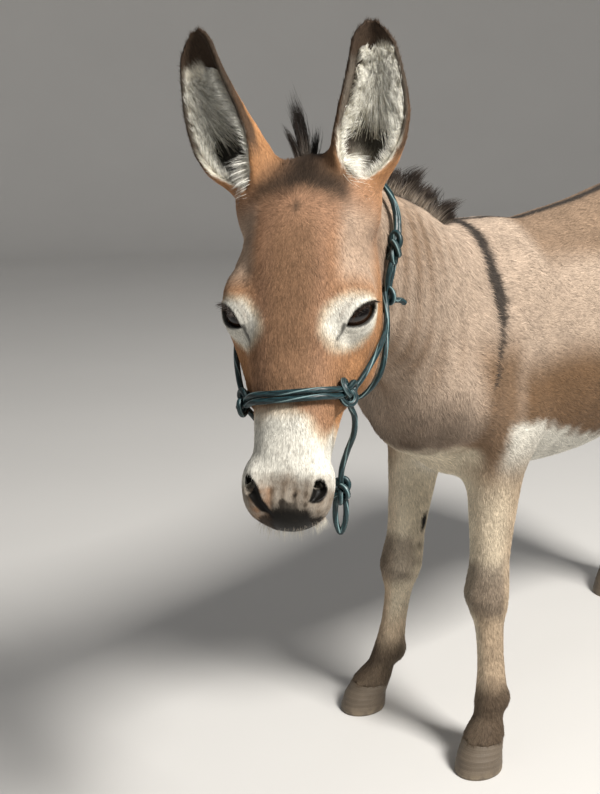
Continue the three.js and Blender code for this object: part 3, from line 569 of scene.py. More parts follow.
def surface_nets(values, axes):
    """A point in each cell that the surface crosses, at the mean of its edge crossings, and a quad for
    each grid edge that it crosses."""
    inside = values < 0
    shape = np.array(values.shape)
    corners = np.array([(a, b, c) for a in (0, 1) for b in (0, 1) for c in (0, 1)])
    count = sum(inside[tuple(slice(k, n - 1 + k) for k, n in zip(q, shape))].astype(np.uint8)
                for q in corners)
    cells = np.argwhere((count > 0) & (count < 8))
    index = np.full(count.shape, -1)
    index[tuple(cells.T)] = np.arange(len(cells))
    level = np.stack([values[tuple((cells + q).T)] for q in corners], 1).astype(float)
    total, crossings = np.zeros((len(cells), 3)), np.zeros(len(cells))
    for a in range(8):
        for b in range(a + 1, 8):
            if np.abs(corners[a] - corners[b]).sum() == 1:
                hit = (level[:, a] < 0) != (level[:, b] < 0)
                t = level[hit, a] / (level[hit, a] - level[hit, b])
                total[hit] += corners[a] + t[:, None] * (corners[b] - corners[a])
                crossings[hit] += 1
    local = cells + total / crossings[:, None]
    points = np.stack([np.interp(local[:, i], np.arange(len(a)), a) for i, a in enumerate(axes)], 1)
    quads = []
    for axis, (j, k) in enumerate(((1, 2), (2, 0), (0, 1))):
        along = np.eye(3, dtype=int)
        low = inside[tuple(slice(0, n - d) for n, d in zip(shape, along[axis]))]
        high = inside[tuple(slice(d, n) for n, d in zip(shape, along[axis]))]
        edges = np.argwhere(low != high)
        across = edges[:, [j, k]]
        edges = edges[((across > 0) & (across < shape[[j, k]] - 1)).all(1)]
        ring = [edges - along[j] - along[k], edges - along[k], edges, edges - along[j]]
        quad = np.stack([index[tuple(cell.T)] for cell in ring], 1)
        outward = inside[tuple(edges.T)]
        quad[~outward] = quad[~outward][:, ::-1]
        quads.append(quad)
    return points, np.concatenate(quads)


def triangles_of(quads):
    return np.concatenate([quads[:, [0, 1, 2]], quads[:, [0, 2, 3]]])


def rim(triangles):
    """The points on edges that only one triangle has."""
    edges = np.sort(triangles[:, [0, 1, 1, 2, 2, 0]].reshape(-1, 2), 1)
    single, times = np.unique(edges, axis=0, return_counts=True)
    return np.unique(single[times == 1])


def bridge(points, front, back, middle):
    """Triangles between two rims round the Y axis: the rims merged by angle, each point joined to the one
    before it on its own rim and to the last one passed on the other."""
    rims = np.concatenate([front, back])
    is_back = np.arange(len(rims)) >= len(front)
    angle = np.arctan2(points[rims, 2] - middle[1], points[rims, 0] - middle[0])
    order = np.argsort(angle)
    rims, is_back = np.tile(rims[order], 3), np.tile(is_back[order], 3)
    n = len(order)
    steps = np.arange(len(rims))
    last = [np.maximum.accumulate(np.where(is_back == side, steps, 0)) for side in (False, True)]
    here = steps[n:2 * n]
    own = np.where(is_back[here], last[1][here - 1], last[0][here - 1])
    other = np.where(is_back[here], last[0][here], last[1][here])
    faces = np.stack([rims[own], rims[here], rims[other]], 1)
    flipped = is_back[here]
    faces[flipped] = faces[flipped][:, ::-1]
    return faces


def refine(points, triangles, chosen):
    """Splits every edge whose two ends are chosen, and the triangles on it into two, three or four."""
    sides = triangles[:, [0, 1, 1, 2, 2, 0]].reshape(-1, 2)
    edges, where = np.unique(np.sort(sides, 1), axis=0, return_inverse=True)
    where = where.reshape(-1, 3)
    split = chosen[edges].all(1)
    middle = np.full(len(edges), -1)
    middle[split] = len(points) + np.arange(split.sum())
    points = np.concatenate([points, points[edges[split]].mean(1)])
    m = middle[where]
    cut = m >= 0
    count = cut.sum(1)
    faces = [triangles[count == 0]]
    # each triangle is turned so that its first cut edge, or its only whole edge, comes first
    for number, wanted in ((1, cut), (2, ~cut)):
        rows = np.flatnonzero(count == number)
        start = np.argmax(wanted[rows], 1)[:, None]
        order = (start + np.arange(3)) % 3
        a, b, c = np.take_along_axis(triangles[rows], order, 1).T
        ab, bc, ca = np.take_along_axis(m[rows], order, 1).T
        if number == 1:
            faces += [np.stack([a, ab, c], 1), np.stack([ab, b, c], 1)]
        else:
            faces += [np.stack([c, ca, bc], 1), np.stack([a, b, bc], 1), np.stack([a, bc, ca], 1)]
    (a, b, c), (ab, bc, ca) = triangles[count == 3].T, m[count == 3].T
    faces += [np.stack(f, 1) for f in ((a, ab, ca), (ab, b, bc), (ca, bc, c), (ab, bc, ca))]
    return points, np.concatenate(faces)


def first_crossing(field, start, ahead, level, reach, step=2.0):
    """Where each ray first leaves a level of the field: sampled every step, then halved. A ray that starts
    outside stays at its start."""
    ahead = np.broadcast_to(ahead, start.shape)
    way = np.arange(0, reach, step)
    rays = start[:, None] + way[None, :, None] * ahead[:, None]
    outside = field(rays.reshape(-1, 3)).reshape(rays.shape[:2]) >= level
    high = way[np.argmax(outside, 1)]
    low = np.maximum(high - step, 0)
    for _ in range(12):
        middle = (low + high) / 2
        within = field(start + middle[:, None] * ahead) < level
        low, high = np.where(within, middle, low), np.where(within, high, middle)
    return start + low[:, None] * ahead


def settle(points, steps=2):
    """Points moved onto the surface by Newton steps, and the unit normals there."""
    order = np.lexsort((points // NEIGHBOURS).T)
    out, normals = points.copy(), np.empty_like(points)

    def move(chosen):
        p = out[chosen]
        centre = (p.min(0) + p.max(0)) / 2
        field = BODY.close_to(centre, np.linalg.norm(p - centre, axis=1).max() + 5)
        for _ in range(steps):
            slope = field.gradient(p)
            step = field(p) / np.maximum((slope * slope).sum(1), 0.2)
            p = p - np.clip(step, -4, 4)[:, None] * slope
        out[chosen] = p
        normals[chosen] = unit(field.gradient(p))

    list(WORKERS.map(move, np.array_split(order, max(1, len(order) // SHARE))))
    return out, normals


FINE_BOX = ((-140, -718, 556), (262, -335, 1234))        # the head, ears and upper neck
BODY_BOX = ((-240, -335, 30), (240, 860, 1010))          # everything behind the cut through the neck
NECK_MIDDLE = (45, 880)                                  # x and z of the neck's middle at that cut
FINE_STEP, BODY_STEP = 3.8, 8.6


def zone(box, step):
    axes = [np.arange(low, high + step, step) for low, high in zip(*box)]
    points, quads = surface_nets(sample(axes), axes)
    return points, triangles_of(quads)


def rim_at(points, triangles, y, reach):
    loop = rim(triangles)
    return loop[np.abs(points[loop, 1] - y) < reach]


def face_detail(points):
    """Where the skin needs small triangles: round the eyes, nostrils and mouth."""
    q = SKULL.local(points)
    chosen = (q[:, 0] > 392) & (q[:, 2] > -100) & (q[:, 2] < 12)
    for side in SIDES:
        e = EYES[side].local(points)
        chosen |= (np.abs(e[:, 0]) < 34) & (np.abs(e[:, 1]) < 20) & (e[:, 2] > 0)
    return chosen


def body_surface():
    """The body's points, normals and triangles: fine over the head, coarser behind, joined round the neck."""
    p, t = zone(FINE_BOX, FINE_STEP)
    q, s = zone(BODY_BOX, BODY_STEP)
    cut = FINE_BOX[1][1]
    points = np.concatenate([p, q])
    back = s + len(p)
    front_rim, back_rim = rim_at(points, t, cut, 2 * FINE_STEP), rim_at(points, back, cut, 2 * BODY_STEP)
    triangles = np.concatenate([t, back, bridge(points, front_rim, back_rim, NECK_MIDDLE)])
    points, _ = settle(points, 1)
    points, triangles = refine(points, triangles, face_detail(points))
    points, normals = settle(points, 1)
    corners = points[triangles]
    facing = np.cross(corners[:, 1] - corners[:, 0], corners[:, 2] - corners[:, 0])
    wrong = (facing * normals[triangles].mean(1)).sum(1) < 0
    triangles[wrong] = triangles[wrong][:, ::-1]
    return points, normals, triangles


# ---------------------------------------------------------------- markings and lie of the coat

WHORL = np.array([62, -1, 22])                # the hair of the face grows away from here, in the head's frame
# the shoulder cross: height, distance behind the withers, half width
CROSS = np.array([(672, -116, 0), (690, -106, 7), (706, -99, 4), (735, -87, 5), (772, -80, 8),
                  (802, -76, 11.5), (935, -62, 12.5)], float)
TEAR = ((-28, 3), (-36, -5), (-45, -8))       # the groove from an eye's inner corner, in the eye's frame


def part_weights(points):
    """How much each part owns each point: exp of minus its distance over 9 mm, shared to one."""
    def distances(chosen):
        return np.stack([field(points[chosen]) for field in PARTS.values()], 1)

    spans = np.array_split(np.arange(len(points)), 16)
    d = np.concatenate(list(WORKERS.map(distances, spans)))
    power = np.exp(-(d - d.min(1, keepdims=True)) / 9.0)
    return power / power.sum(1, keepdims=True)


class Spot:
    """Points of the skin with all that the markings and the hair need to know about them."""

    def __init__(self, points, normals):
        self.points, self.normals = points, normals
        self.weights = part_weights(points)
        self.skull = SKULL.local(points)
        self.facing = normals @ SKULL.axes.T
        self.leaves = {side: EAR_LEAVES[side].polar(points) for side in SIDES}
        self.wander, self.fine = ripple(points, 60, 1.0), ripple(points, 9, 2.0)
        self.inward = -normals[:, 0] * np.sign(points[:, 0])

    def part(self, *names):
        """How much of each point the named parts own."""
        return sum(self.weights[:, list(PARTS).index(name)] for name in names)

    def leaf(self, side):
        """Fraction along an ear, turn from its front in degrees, and 1 on the inner wall."""
        t, angle, distance, _, _, (radius, *_) = self.leaves[side]
        return t, np.degrees(angle), smooth(1.0, -1.0, distance - radius)


def lie(spot):
    """The direction in which the hair points, along the skin.

    On the face it points away from the whorl, and on the cheeks back and down; on the neck and
    shoulder down and back; on the barrel back; down the legs and tail; and up the ears.
    """
    p, n, q = spot.points, spot.normals, spot.skull
    side = np.sign(p[:, 0])

    def rows(x, y, z):
        return np.stack(np.broadcast_arrays(np.asarray(x, float), y, z, p[:, 0])[:3], 1)

    steep = np.abs(n[:, 0])
    haunch = smooth(480, 680, p[:, 1])
    breast = smooth(-0.2, -0.8, n[:, 1]) * smooth(-60, -120, p[:, 1])
    trunk = mix(rows(0, 1, -0.45 * steep), rows(0, 0.5, -1), haunch)
    trunk = unit(mix(trunk, rows(0.25 * side, 0.05, -1), breast))
    neck = rows(0.1 * side, 0.62, -0.35 - 0.5 * steep)
    leg = rows(0, 0.12, -1)
    away = q - WHORL
    cheek = smooth(48, 66, np.abs(q[:, 1])) * smooth(-20, -70, q[:, 2]) * smooth(330, 230, q[:, 0])
    below = smooth(-0.3, -0.8, spot.facing[:, 2])
    crown = smooth(30, -10, q[:, 0])
    face = unit(away * (1, 1, 0.4))
    face = mix(face, np.array([0.45, 0, -0.9]), cheek * 0.85)
    face = mix(face, np.array([-0.8, 0, -0.3]), below)
    face = mix(face, np.array([-1, 0, 0]), crown)
    face = mix(face, np.array([1.0, 0, 0]), smooth(330, 400, q[:, 0]))
    flow = trunk * spot.part("trunk")[:, None] + neck * spot.part("neck")[:, None]
    flow += leg * spot.part("tail", "foreleg_left", "foreleg_right", "hindleg_left", "hindleg_right")[:, None]
    flow += SKULL.direction(face) * spot.part("head")[:, None]
    for s, side_name in SIDE_NAMES.items():
        leaf = EAR_LEAVES[s]
        _, angle, _ = spot.leaf(s)
        spread = leaf.place.direction(np.stack([np.sin(np.radians(angle)), np.cos(np.radians(angle)),
                                                np.full(len(p), 2.2)], 1))
        flow += unit(spread) * spot.part("ear_" + side_name)[:, None]
    flow -= (flow * n).sum(1, keepdims=True) * n
    return unit(flow)


class Paint:
    """A colour for each point, built up in layers."""

    def __init__(self, tones, ground):
        self.tones, self.colour = tones, ground

    def lay(self, name, cover):
        """The named tone over what is there, as far as cover says for each point."""
        self.colour = mix(self.colour, self.tones[name], cover)


def torso_colour(spot, tone):
    """Trunk and neck: fawn above, brown low on the barrel (partly coat colour, partly painted shade), a dark
    breast that is mostly painted shade, white below, and the cross and stripe.
    """
    p, n = spot.points, spot.normals
    x, y, z = p.T
    wander, fine = spot.wander, spot.fine
    streaky = ripple(p * (1, 2.2, 0.35), 20, 7.0)
    behind = smooth(-60, -10, y)
    out = Paint(tone, tone["fawn"])
    # brown low on the barrel: partly the coat's own colour, partly painted shade on its lower side
    out.lay("brown", smooth(738, 650, z + 18 * wander) * behind * 0.97)
    out.lay("brown", smooth(828, 872, z + 16 * wander) * smooth(50, 110, y) * 0.66)
    out.lay("brown", near(y, -88, 24, 46) * smooth(780, 690, z + 12 * wander) * 0.85)
    out.lay("brown", smooth(-190, -270, y) * (0.3 + 0.28 * streaky))
    out.lay("brown", smooth(-100, -190, y) * smooth(0.2, 0.8, streaky) * 0.3)
    # dark low on the front of the chest: mostly painted shade, partly dark hair
    breast = smooth(690, 596, z + 16 * wander + 5 * fine) * smooth(-110, -195, y)
    out.lay("dark", breast * (0.6 + 0.2 * streaky))
    inward = spot.inward
    arms = smooth(-0.1, 0.35, inward) * smooth(620, 560, z) * near(np.abs(x), 0, 150, 30)
    under = smooth(586, 560, z + 8 * fine + 8 * wander) * smooth(10, -40, y) * near(x, 0, 78, 26)
    out.lay("cream", np.maximum(arms, under) * 0.92)
    belly_edge = np.maximum(601 - 0.26 * (y + 23), 528) + 8 * fine + 10 * wander
    belly = smooth(10, -10, z - belly_edge) * smooth(-75, -45, y) * smooth(690, 560, y)
    out.lay("white", belly)
    cleft = np.interp(z, CROSS[:, 0], CROSS[:, 1])
    width = np.interp(z, CROSS[:, 0], CROSS[:, 2])
    cross = (1 - smooth(-2, 2, np.abs(y - cleft + 1.5 * fine) - width)) * (z > CROSS[0, 0])
    ridge = np.interp(y, (-450, -60, 0), (78, 2, 0))
    spine = (1 - smooth(8, 14, np.abs(x - ridge) + 2 * fine)) * smooth(0.1, 0.5, n[:, 2])
    out.lay("stripe", np.maximum(cross, spine) * 0.96)
    return out.colour


def leg_colour(spot, tone):
    """Pale legs, rustier outside, a pale front to each forearm that is partly pale hair and partly painted
    highlight, grey knees, dark fetlocks, and a chestnut inside each foreleg.
    """
    p, n = spot.points, spot.normals
    _, y, z = p.T
    wander, fine = spot.wander, spot.fine
    inward = spot.inward
    fore = y < 200
    out = Paint(tone, tone["leg"])
    out.lay("cream", smooth(-0.1, 0.5, inward) * smooth(160, 230, z) * 0.85)
    out.lay("brown", smooth(0.3, -0.7, inward) * (0.25 + 0.15 * smooth(300, 200, z)))
    # pale front of each forearm: partly pale hair, partly painted highlight
    out.lay("cream", near(z, 425, 60, 50) * smooth(0.3, -0.5, n[:, 1]) * fore * 0.55)
    out.lay("brown", smooth(440, 540, z) * smooth(0.1, -0.5, inward) * 0.6)
    knee = near(z, 318, 30, 30) * smooth(0.5, -0.4, n[:, 1] + 0.5 * fine) * fore
    out.lay("grey", knee * 0.75)
    hock = near(z, 380, 40, 30) * smooth(0.2, 0.8, n[:, 1] + 0.4 * fine) * ~fore
    out.lay("grey", hock * 0.6)
    out.lay("dark", smooth(0.2, 0.8, n[:, 1]) * near(z, 210, 60, 40) * 0.35)
    out.lay("dark", smooth(168, 112, z + 14 * wander + 8 * fine) * 0.85)
    chestnut = np.hypot((z - 384) / 17, (y + 19) / 10) < 1
    out.lay("skin", chestnut * fore * smooth(0.2, 0.5, inward))
    return out.colour


def head_colour(spot, tone):
    """Rusty brown with a white muzzle and eye rings, a mottled nose, dark lips and lids, nostrils painted
    black inside as painted shade, painted shade in the lid creases and a painted highlight on each temple.
    """
    p, q, f = spot.points, spot.skull, spot.facing
    u, v, w = q.T
    wander, fine = spot.wander, spot.fine
    grit = ripple(p, 3.4, 3.0)
    out = Paint(tone, tone["forehead"])
    out.lay("rust", smooth(30, 75, np.abs(v) + 8 * wander) * smooth(40, 120, u) * 0.6)
    out.lay("brown", near(np.abs(v), 0, 16, 26) * near(u, 200, 90, 60) * 0.45)
    out.lay("rust", smooth(-30, -80, w) * smooth(90, 160, u) * 0.85)
    # pale patch on each temple: painted highlight
    temple_highlight = near(u, 104, 30, 40) * smooth(44, 66, np.abs(v)) * smooth(-90, -30, w)
    out.lay("fawn", temple_highlight * 0.75)
    out.lay("fawn", smooth(0.2, -0.6, f[:, 2]) * smooth(-110, -150, w) * 0.6)
    bases = np.exp(-((np.abs(v) - 38) / 12) ** 2 - ((u - 18) / 26) ** 2) * smooth(-50, -20, w)
    out.lay("dark", bases * 0.85)
    whorl = np.exp(-(np.hypot((u - WHORL[0]) / 10, (v - WHORL[1]) / 4.5)) ** 2)
    out.lay("dark", whorl * 0.9)
    start = u - 320 + 7 * fine - 26 * smooth(10, 44, v) * smooth(-70, -30, w)
    out.lay("cream", smooth(-16, 8, start) * 0.7)
    out.lay("white", smooth(-4, 20, start))
    out.lay("grey", smooth(0.4, 0.8, ripple(p, 2.4, 5.0)) * smooth(330, 380, u) * 0.4)
    nose = smooth(-12, 12, u - 402 + 9 * fine - 10 * smooth(10, 40, np.abs(v - 6))) * smooth(-84, -66, w)
    bars = ripple(np.stack([u * 0.22, v, w * 0.3], 1), 3.2, 4.0)
    out.lay("nose", nose * (0.80 + 0.12 * bars + 0.08 * grit))
    out.lay("rust", nose * near(v, -27, 9, 8) * smooth(408, 420, u) * (0.4 + 0.3 * grit))
    streaks = smooth(0.25, 0.8, bars + 0.5 * grit) * smooth(404, 424, u) * near(v, 4, 40, 14)
    out.lay("dark", nose * streaks * 0.55)
    # the nose grows darker towards the lips, in streaks
    darker_to_lips = 0.9 * bars + 0.6 * grit + (u - 425) / 13 - np.abs(v - 6) / 26 + 0.3
    out.lay("skin", nose * smooth(0.1, 0.9, darker_to_lips) * 0.85)
    lips = smooth(438, 447, u + 4 * fine) * near(v, 9, 20, 14) * (1 - 0.3 * smooth(0.5, 0.9, grit))
    lips = np.maximum(lips, near(w, -80, 3, 5) * smooth(378, 392, u) * (np.abs(v) > 18))
    out.lay("skin", lips * 0.92)
    chin = smooth(-88, -98, w) * smooth(400, 412, u) * smooth(436, 420, u)
    out.lay("cream", chin * (0.55 + 0.3 * fine))
    bare = np.maximum(lips * 0.6, nose * 0.25) * (1 - chin)
    for s in SIDES:
        e = EYES[s].local(p)
        # the right ring is drawn smaller: partly its own shape, partly painted shade on that side of the face
        ring = np.hypot((e[:, 0] + 14) / 41, (e[:, 1] + 1) / 33) * (1.06 - 0.06 * s)
        ring += 0.07 * fine + 0.05 * wander
        over = smooth(-10, 4, e[:, 2])
        out.lay("cream", smooth(1.3, 0.85, ring) * over * 0.8)
        out.lay("white", smooth(1.05, 0.7, ring) * over)
        slit = across_eye(e)
        # brown along the fold over the upper lid: painted shade in the crease
        crease_shade = np.exp(-((slit - 11.5) / 1.8) ** 2) * smooth(-2, 5, e[:, 1]) * near(e[:, 0], -2, 22, 10)
        out.lay("brown", crease_shade * over * 0.4)
        tear = smooth(3.4, 1.2, from_path(e[:, :2], TEAR))
        spot_below = smooth(5.0, 2.5, np.hypot(e[:, 0] + 47, (e[:, 1] + 14) * 1.5)) * 0.6
        lids = smooth(3.6, 1.4, slit) * near(e[:, 0], -4, 26, 12)
        rims = np.maximum(np.maximum(lids, tear * 0.85), spot_below) * over
        out.lay("skin", rims * 0.94)
        outward = q * (1, s, 1)
        path, width = np.split(np.array(NOSTRIL[s], float), [3], 1)
        hole = np.min([np.linalg.norm(outward - a, axis=1) / r for a, r in along_path(path, width)], 0)
        # the nostrils painted black inside and on their walls: painted shade of their depth
        dark = smooth(1.7, 1.25, hole + 0.1 * fine)
        out.lay("skin", dark)
        bare = np.maximum(np.maximum(bare, rims), dark)
    return out.colour, bare


def ear_outward(side):
    """1 where an ear's first axis points away from the other ear, else -1."""
    return 1 if EAR_LEAVES[side].place.axes[0][0] * side > 0 else -1


def ear_colour(spot, tone, side):
    """Rust behind with dark tips and rims, cream inside with a dark hollow."""
    t, angle, inside = spot.leaf(side)
    fine = spot.fine
    gap = np.interp(t, Ear.rows[:, 0], Ear.rows[:, 2])
    past = np.abs(angle) - gap
    medial = smooth(-0.2, 0.2, -ear_outward(side) * np.sin(np.radians(angle)))
    out = Paint(tone, tone["rust"])
    out.lay("brown", smooth(100, 170, np.abs(angle)) * 0.5)
    out.lay("dark", smooth(0.45, 0.68, t + 0.04 * fine) * smooth(66, 22, past) * 0.9)
    out.lay("dark", smooth(0.74, 0.88, t + 0.03 * fine))
    out.lay("dark", smooth(20, 8, past + 5 * fine) * smooth(0.12, 0.3, t) * 0.9)
    blot = ripple(spot.points, 15, 6.0) * 0.05 + fine * 0.03
    hollow = near(t + blot, 0.3, 0.08, 0.12) * smooth(70, 125, np.abs(angle))
    front = Paint(tone, tone["ear"])
    front.lay("skin", hollow * 0.94)
    tip = 0.83 if side < 0 else 0.87
    front.lay("dark", smooth(tip - 0.04, tip + 0.04, t + 0.1 * medial + 0.02 * fine))
    band = 4 + 38 * medial * smooth(0.36, 0.62, t)
    front.lay("dark", smooth(6, -4, past - band + 5 * fine) * smooth(0.2, 0.42, t) * 0.92)
    return mix(out.colour, front.colour, inside)


def colours(spot, tone):
    """The coat's colour at each point, from the tones and the shapes of the markings, and how bare it is."""
    x, _, z = spot.points.T
    head, bare = head_colour(spot, tone)
    tail = mix(tone["fawn"], tone["dark"],
               np.maximum(smooth(760, 560, z) * 0.7, near(x, 0, 7, 8) * (spot.normals[:, 1] > 0)))
    shares = ((torso_colour(spot, tone), ("trunk", "neck")), (head, ("head",)), (tail, ("tail",)),
              (leg_colour(spot, tone), ("foreleg_left", "foreleg_right", "hindleg_left", "hindleg_right")),
              (ear_colour(spot, tone, 1), ("ear_left",)), (ear_colour(spot, tone, -1), ("ear_right",)))
    out = Paint(tone, sum(colour * spot.part(*names)[:, None] for colour, names in shares))
    u, v, w = spot.skull.T
    above = u + 5 * spot.fine - 0.004 * v * v
    # the poll between the ears painted dark: partly dark hair, partly painted shadow cast by the ears
    crown = near(v, 0, 50, 20) * smooth(-90, -60, w) * (1 - spot.part("ear_left", "ear_right"))
    out.lay("dark", crown * smooth(54, 24, above))
    out.lay("skin", crown * smooth(34, 14, above) * 0.6)
    return np.clip(out.colour, 0, 1), np.clip(bare * spot.part("head"), 0, 1)


# ---------------------------------------------------------------- the unwrap that bakes are laid on

# chart corners on the unit square for each part, and the ear's two walls
CHARTS = {"trunk": (0, 0, 0.62, 0.49), "neck": (0.63, 0, 1, 0.24), "tail": (0.63, 0.26, 0.76, 0.49),
          "head": (0, 0.5, 0.54, 1)}
CHARTS.update({name: (0.55 + 0.112 * i, 0.5, 0.65 + 0.112 * i, 0.74) for i, name in
               enumerate(("foreleg_left", "foreleg_right", "hindleg_left", "hindleg_right"))})
CHARTS.update({name: (0.55 + 0.112 * i, 0.76, 0.65 + 0.112 * i, 1) for i, name in
               enumerate(("ear_left_out", "ear_left_in", "ear_right_out", "ear_right_in"))})


def chart_place(name, points):
    """Turn round a part's own axis, from -0.5 to 0.5, and the way along it, from 0 to 1.

    The ends of the part are rolled out like the ends of a capsule: the way goes on by the radius
    times the angle towards the pole.
    """
    if name.startswith("ear"):
        leaf = EAR_LEAVES[1 if "left" in name else -1]
        t, angle, *_ = leaf.polar(points)
        return np.mod(angle / AROUND, 1) - 0.5, np.clip((t + 0.2) / 1.25, 0, 1)
    tube = PARTS[name].masses[0]
    q = tube.place.local(points)
    t, row = tube.middle(q)
    x, y = q[:, tube.others[0]] - row[:, 0], q[:, tube.others[1]] - row[:, 1]
    cap = 60                      # how far from each end the rolled-out end begins, in mm
    pole = 1.2 * cap * np.pi / 2  # the way from there to the pole
    low, high = tube.knots[0] + cap, tube.knots[-1] - cap
    past = q[:, tube.axis] - np.clip(q[:, tube.axis], low, high)
    way = np.clip(q[:, tube.axis], low, high) + 1.2 * cap * np.arctan2(past, np.hypot(x, y))
    return np.arctan2(x, y) / AROUND, np.clip((way - low + pole) / (high - low + 2 * pole), 0, 1)


def unwrap(spot):
    """For each point its chart's name number, turn and way."""
    owner = spot.weights.argmax(1)
    names = list(CHARTS)
    chart = np.zeros(len(owner), int)
    turn_way = np.zeros((len(owner), 2))
    for number, part in enumerate(PARTS):
        mine = owner == number
        if part.startswith("ear"):
            inside = spot.leaf(1 if part == "ear_left" else -1)[2] > 0.5
            walls = ((part + "_out", mine & ~inside), (part + "_in", mine & inside))
        else:
            walls = ((part, mine),)
        for name, rows in walls:
            chart[rows] = names.index(name)
            turn_way[rows] = np.stack(chart_place(name, spot.points[rows]), 1)
    return chart, turn_way


def on_sheet(chart, turn_way):
    """Places on the unit square for turns and ways on charts."""
    corners = np.array([CHARTS[name] for name in CHARTS])[chart]
    low, high = corners[..., :2], corners[..., 2:]
    edge = 0.03
    share = edge + (1 - 2 * edge) * np.stack([turn_way[..., 0] + 0.5, turn_way[..., 1]], -1)
    return low + share * (high - low)


def corner_places(triangles, spot):
    """The sheet place of each corner of each triangle: its first corner chooses the chart, and its corners
    are turned to the same side of the seam."""
    chart, turn_way = unwrap(spot)
    lead = chart[triangles[:, 0]]
    out = turn_way[triangles]
    for number, name in enumerate(CHARTS):
        mixed = (lead == number) & (chart[triangles] != number).any(1)
        if mixed.any():
            rows = np.flatnonzero(mixed)
            flat = spot.points[triangles[rows]].reshape(-1, 3)
            out[rows] = np.stack(chart_place(name, flat), 1).reshape(-1, 3, 2)
    base = out[:, :1, 0]
    out[..., 0] = base + np.mod(out[..., 0] - base + 0.5, 1) - 0.5
    return on_sheet(lead[:, None].repeat(3, 1), out)


# ---------------------------------------------------------------- meshes

def make_piece(name, points, faces, normals=None, fields=None, places=None, material=None,
               stands_for=(), stage=False):
    """One object from arrays in metres. faces is a list of index arrays, each with its own number of corners;
    fields are values for each point; places are OFBake corners, in the order of the faces."""
    mesh = bpy.data.meshes.new(name)
    sizes = np.concatenate([np.full(len(f), f.shape[1]) for f in faces])
    corners = np.concatenate([f.ravel() for f in faces])
    starts = np.concatenate([[0], np.cumsum(sizes)[:-1]])
    mesh.vertices.add(len(points))
    mesh.vertices.foreach_set("co", np.asarray(points, np.float32).ravel())
    mesh.loops.add(len(corners))
    mesh.loops.foreach_set("vertex_index", corners.astype(np.int32))
    mesh.polygons.add(len(sizes))
    mesh.polygons.foreach_set("loop_start", starts.astype(np.int32))
    mesh.update(calc_edges=True)
    if places is not None:
        layer = mesh.uv_layers.new(name="OFBake")
        layer.data.foreach_set("uv", np.asarray(places, np.float32).ravel())
    for key, values in (fields or {}).items():
        kind = {3: "FLOAT_VECTOR", 4: "FLOAT_COLOR"}[values.shape[1]]
        attribute = mesh.attributes.new(key, kind, "POINT")
        attribute.data.foreach_set("vector" if values.shape[1] == 3 else "color",
                                   np.asarray(values, np.float32).ravel())
    mesh.shade_smooth()
    if normals is not None:
        mesh.normals_split_custom_set_from_vertices(np.asarray(normals, np.float32))
    piece = bpy.data.objects.new(name, mesh)
    bpy.context.scene.collection.objects.link(piece)
    if material:
        mesh.materials.append(material)
    if stage:
        return piece
    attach(piece, "root")
    if stands_for:
        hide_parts(*stands_for)
    return piece


def with_alpha(values):
    return np.concatenate([values, np.ones((len(values), 1))], 1)


# ---------------------------------------------------------------- skin and coat

class Skin:
    """The body's surface with its colours, hair directions and sheet places, worked out once."""

    def build(self, tone):
        points, normals, triangles = body_surface()
        edges = points[triangles]
        area = np.linalg.norm(np.cross(edges[:, 1] - edges[:, 0], edges[:, 2] - edges[:, 0]), axis=1) / 2
        self.triangles, self.area = triangles, area
        self.spot = Spot(points, normals)
        self.flow = lie(self.spot)
        self.tint, self.bare = colours(self.spot, tone)
        self.points = points + self.folds()[:, None] * normals
        self.normals = normals
        self.chart, self.turn_way = unwrap(self.spot)
        self.grain = self.streak_frame()

    def folds(self):
        """How far the skin stands out or in, in mm: the crease over each upper lid, the bag under the
        eye, wrinkles at the mouth's corner, and faint veins and hollows of the face."""
        spot = self.spot
        out = np.zeros(len(spot.points))
        for s in SIDES:
            e = EYES[s].local(spot.points)
            slit = across_eye(e)
            upper = smooth(-2, 3, e[:, 1])
            span = near(e[:, 0], 0, 24, 12) * smooth(4, 12, e[:, 2])
            out -= 1.5 * np.exp(-((slit - 7.5) / 1.5) ** 2) * upper * span
            out -= 0.9 * np.exp(-((slit - 12.5) / 1.8) ** 2) * upper * span
            out -= 0.8 * np.exp(-((slit - 8.5) / 1.7) ** 2) * (1 - upper) * span
            out += 0.8 * np.exp(-((slit - 3.2) / 1.9) ** 2) * span
        u, v, w = spot.skull.T
        head = spot.part("head")
        wrinkle = np.sin(0.9 * u + 0.25 * w) * near(w, -80, 8, 12) * near(u, 372, 12, 16) * (np.abs(v) > 20)
        out += (0.5 * wrinkle + 0.5 * ripple(spot.skull, 16, 5.0) * smooth(300, 400, u)) * head
        out += 0.5 * ripple(spot.points, 46, 4.0) * spot.part("trunk", "neck")
        return out

    def streak_frame(self):
        """Coordinates for grain that runs with the hair: two across it and one along it, part by part."""
        spot = self.spot
        weights = spot.weights ** 0.25
        weights = weights / weights.sum(1, keepdims=True)
        x, y, z = spot.points.T
        u, v, w = spot.skull.T
        frames = {"trunk": (x, z, y), "neck": (x, y + z, y - z), "head": (v, w, u)}
        out = np.zeros((len(x), 3))
        for number, name in enumerate(PARTS):
            out += weights[:, number, None] * np.stack(frames.get(name, (x, y, z)), 1)
        return out

    def fields(self):
        tone = np.full(len(self.points), 0.4)
        return {"tint": with_alpha(self.tint),
                "lie": np.stack([tone, np.full(len(tone), 0.12), self.bare, np.ones(len(tone))], 1),
                "grain": self.grain}


SKIN = Skin()
TUFTS_IN_PIECE = 49000            # the most that one piece holds
PATCH = 0.0015                    # half the side of the bit of the bake sheet that a tuft or strand has


def on_triangles(values, triangles, shares):
    return (values[triangles] * shares[..., None]).sum(1)


def tuft_places(rng, density):
    """Random places on the skin: as many to the square centimetre as density says for each triangle."""
    weight = SKIN.area * density / 100
    count = int(weight.sum())
    reach = np.cumsum(weight)
    chosen = np.searchsorted(reach, rng.random(count) * reach[-1])
    a, b = np.sqrt(rng.random(count)), rng.random(count)
    return chosen, np.stack([1 - a, a * (1 - b), a * b], 1)


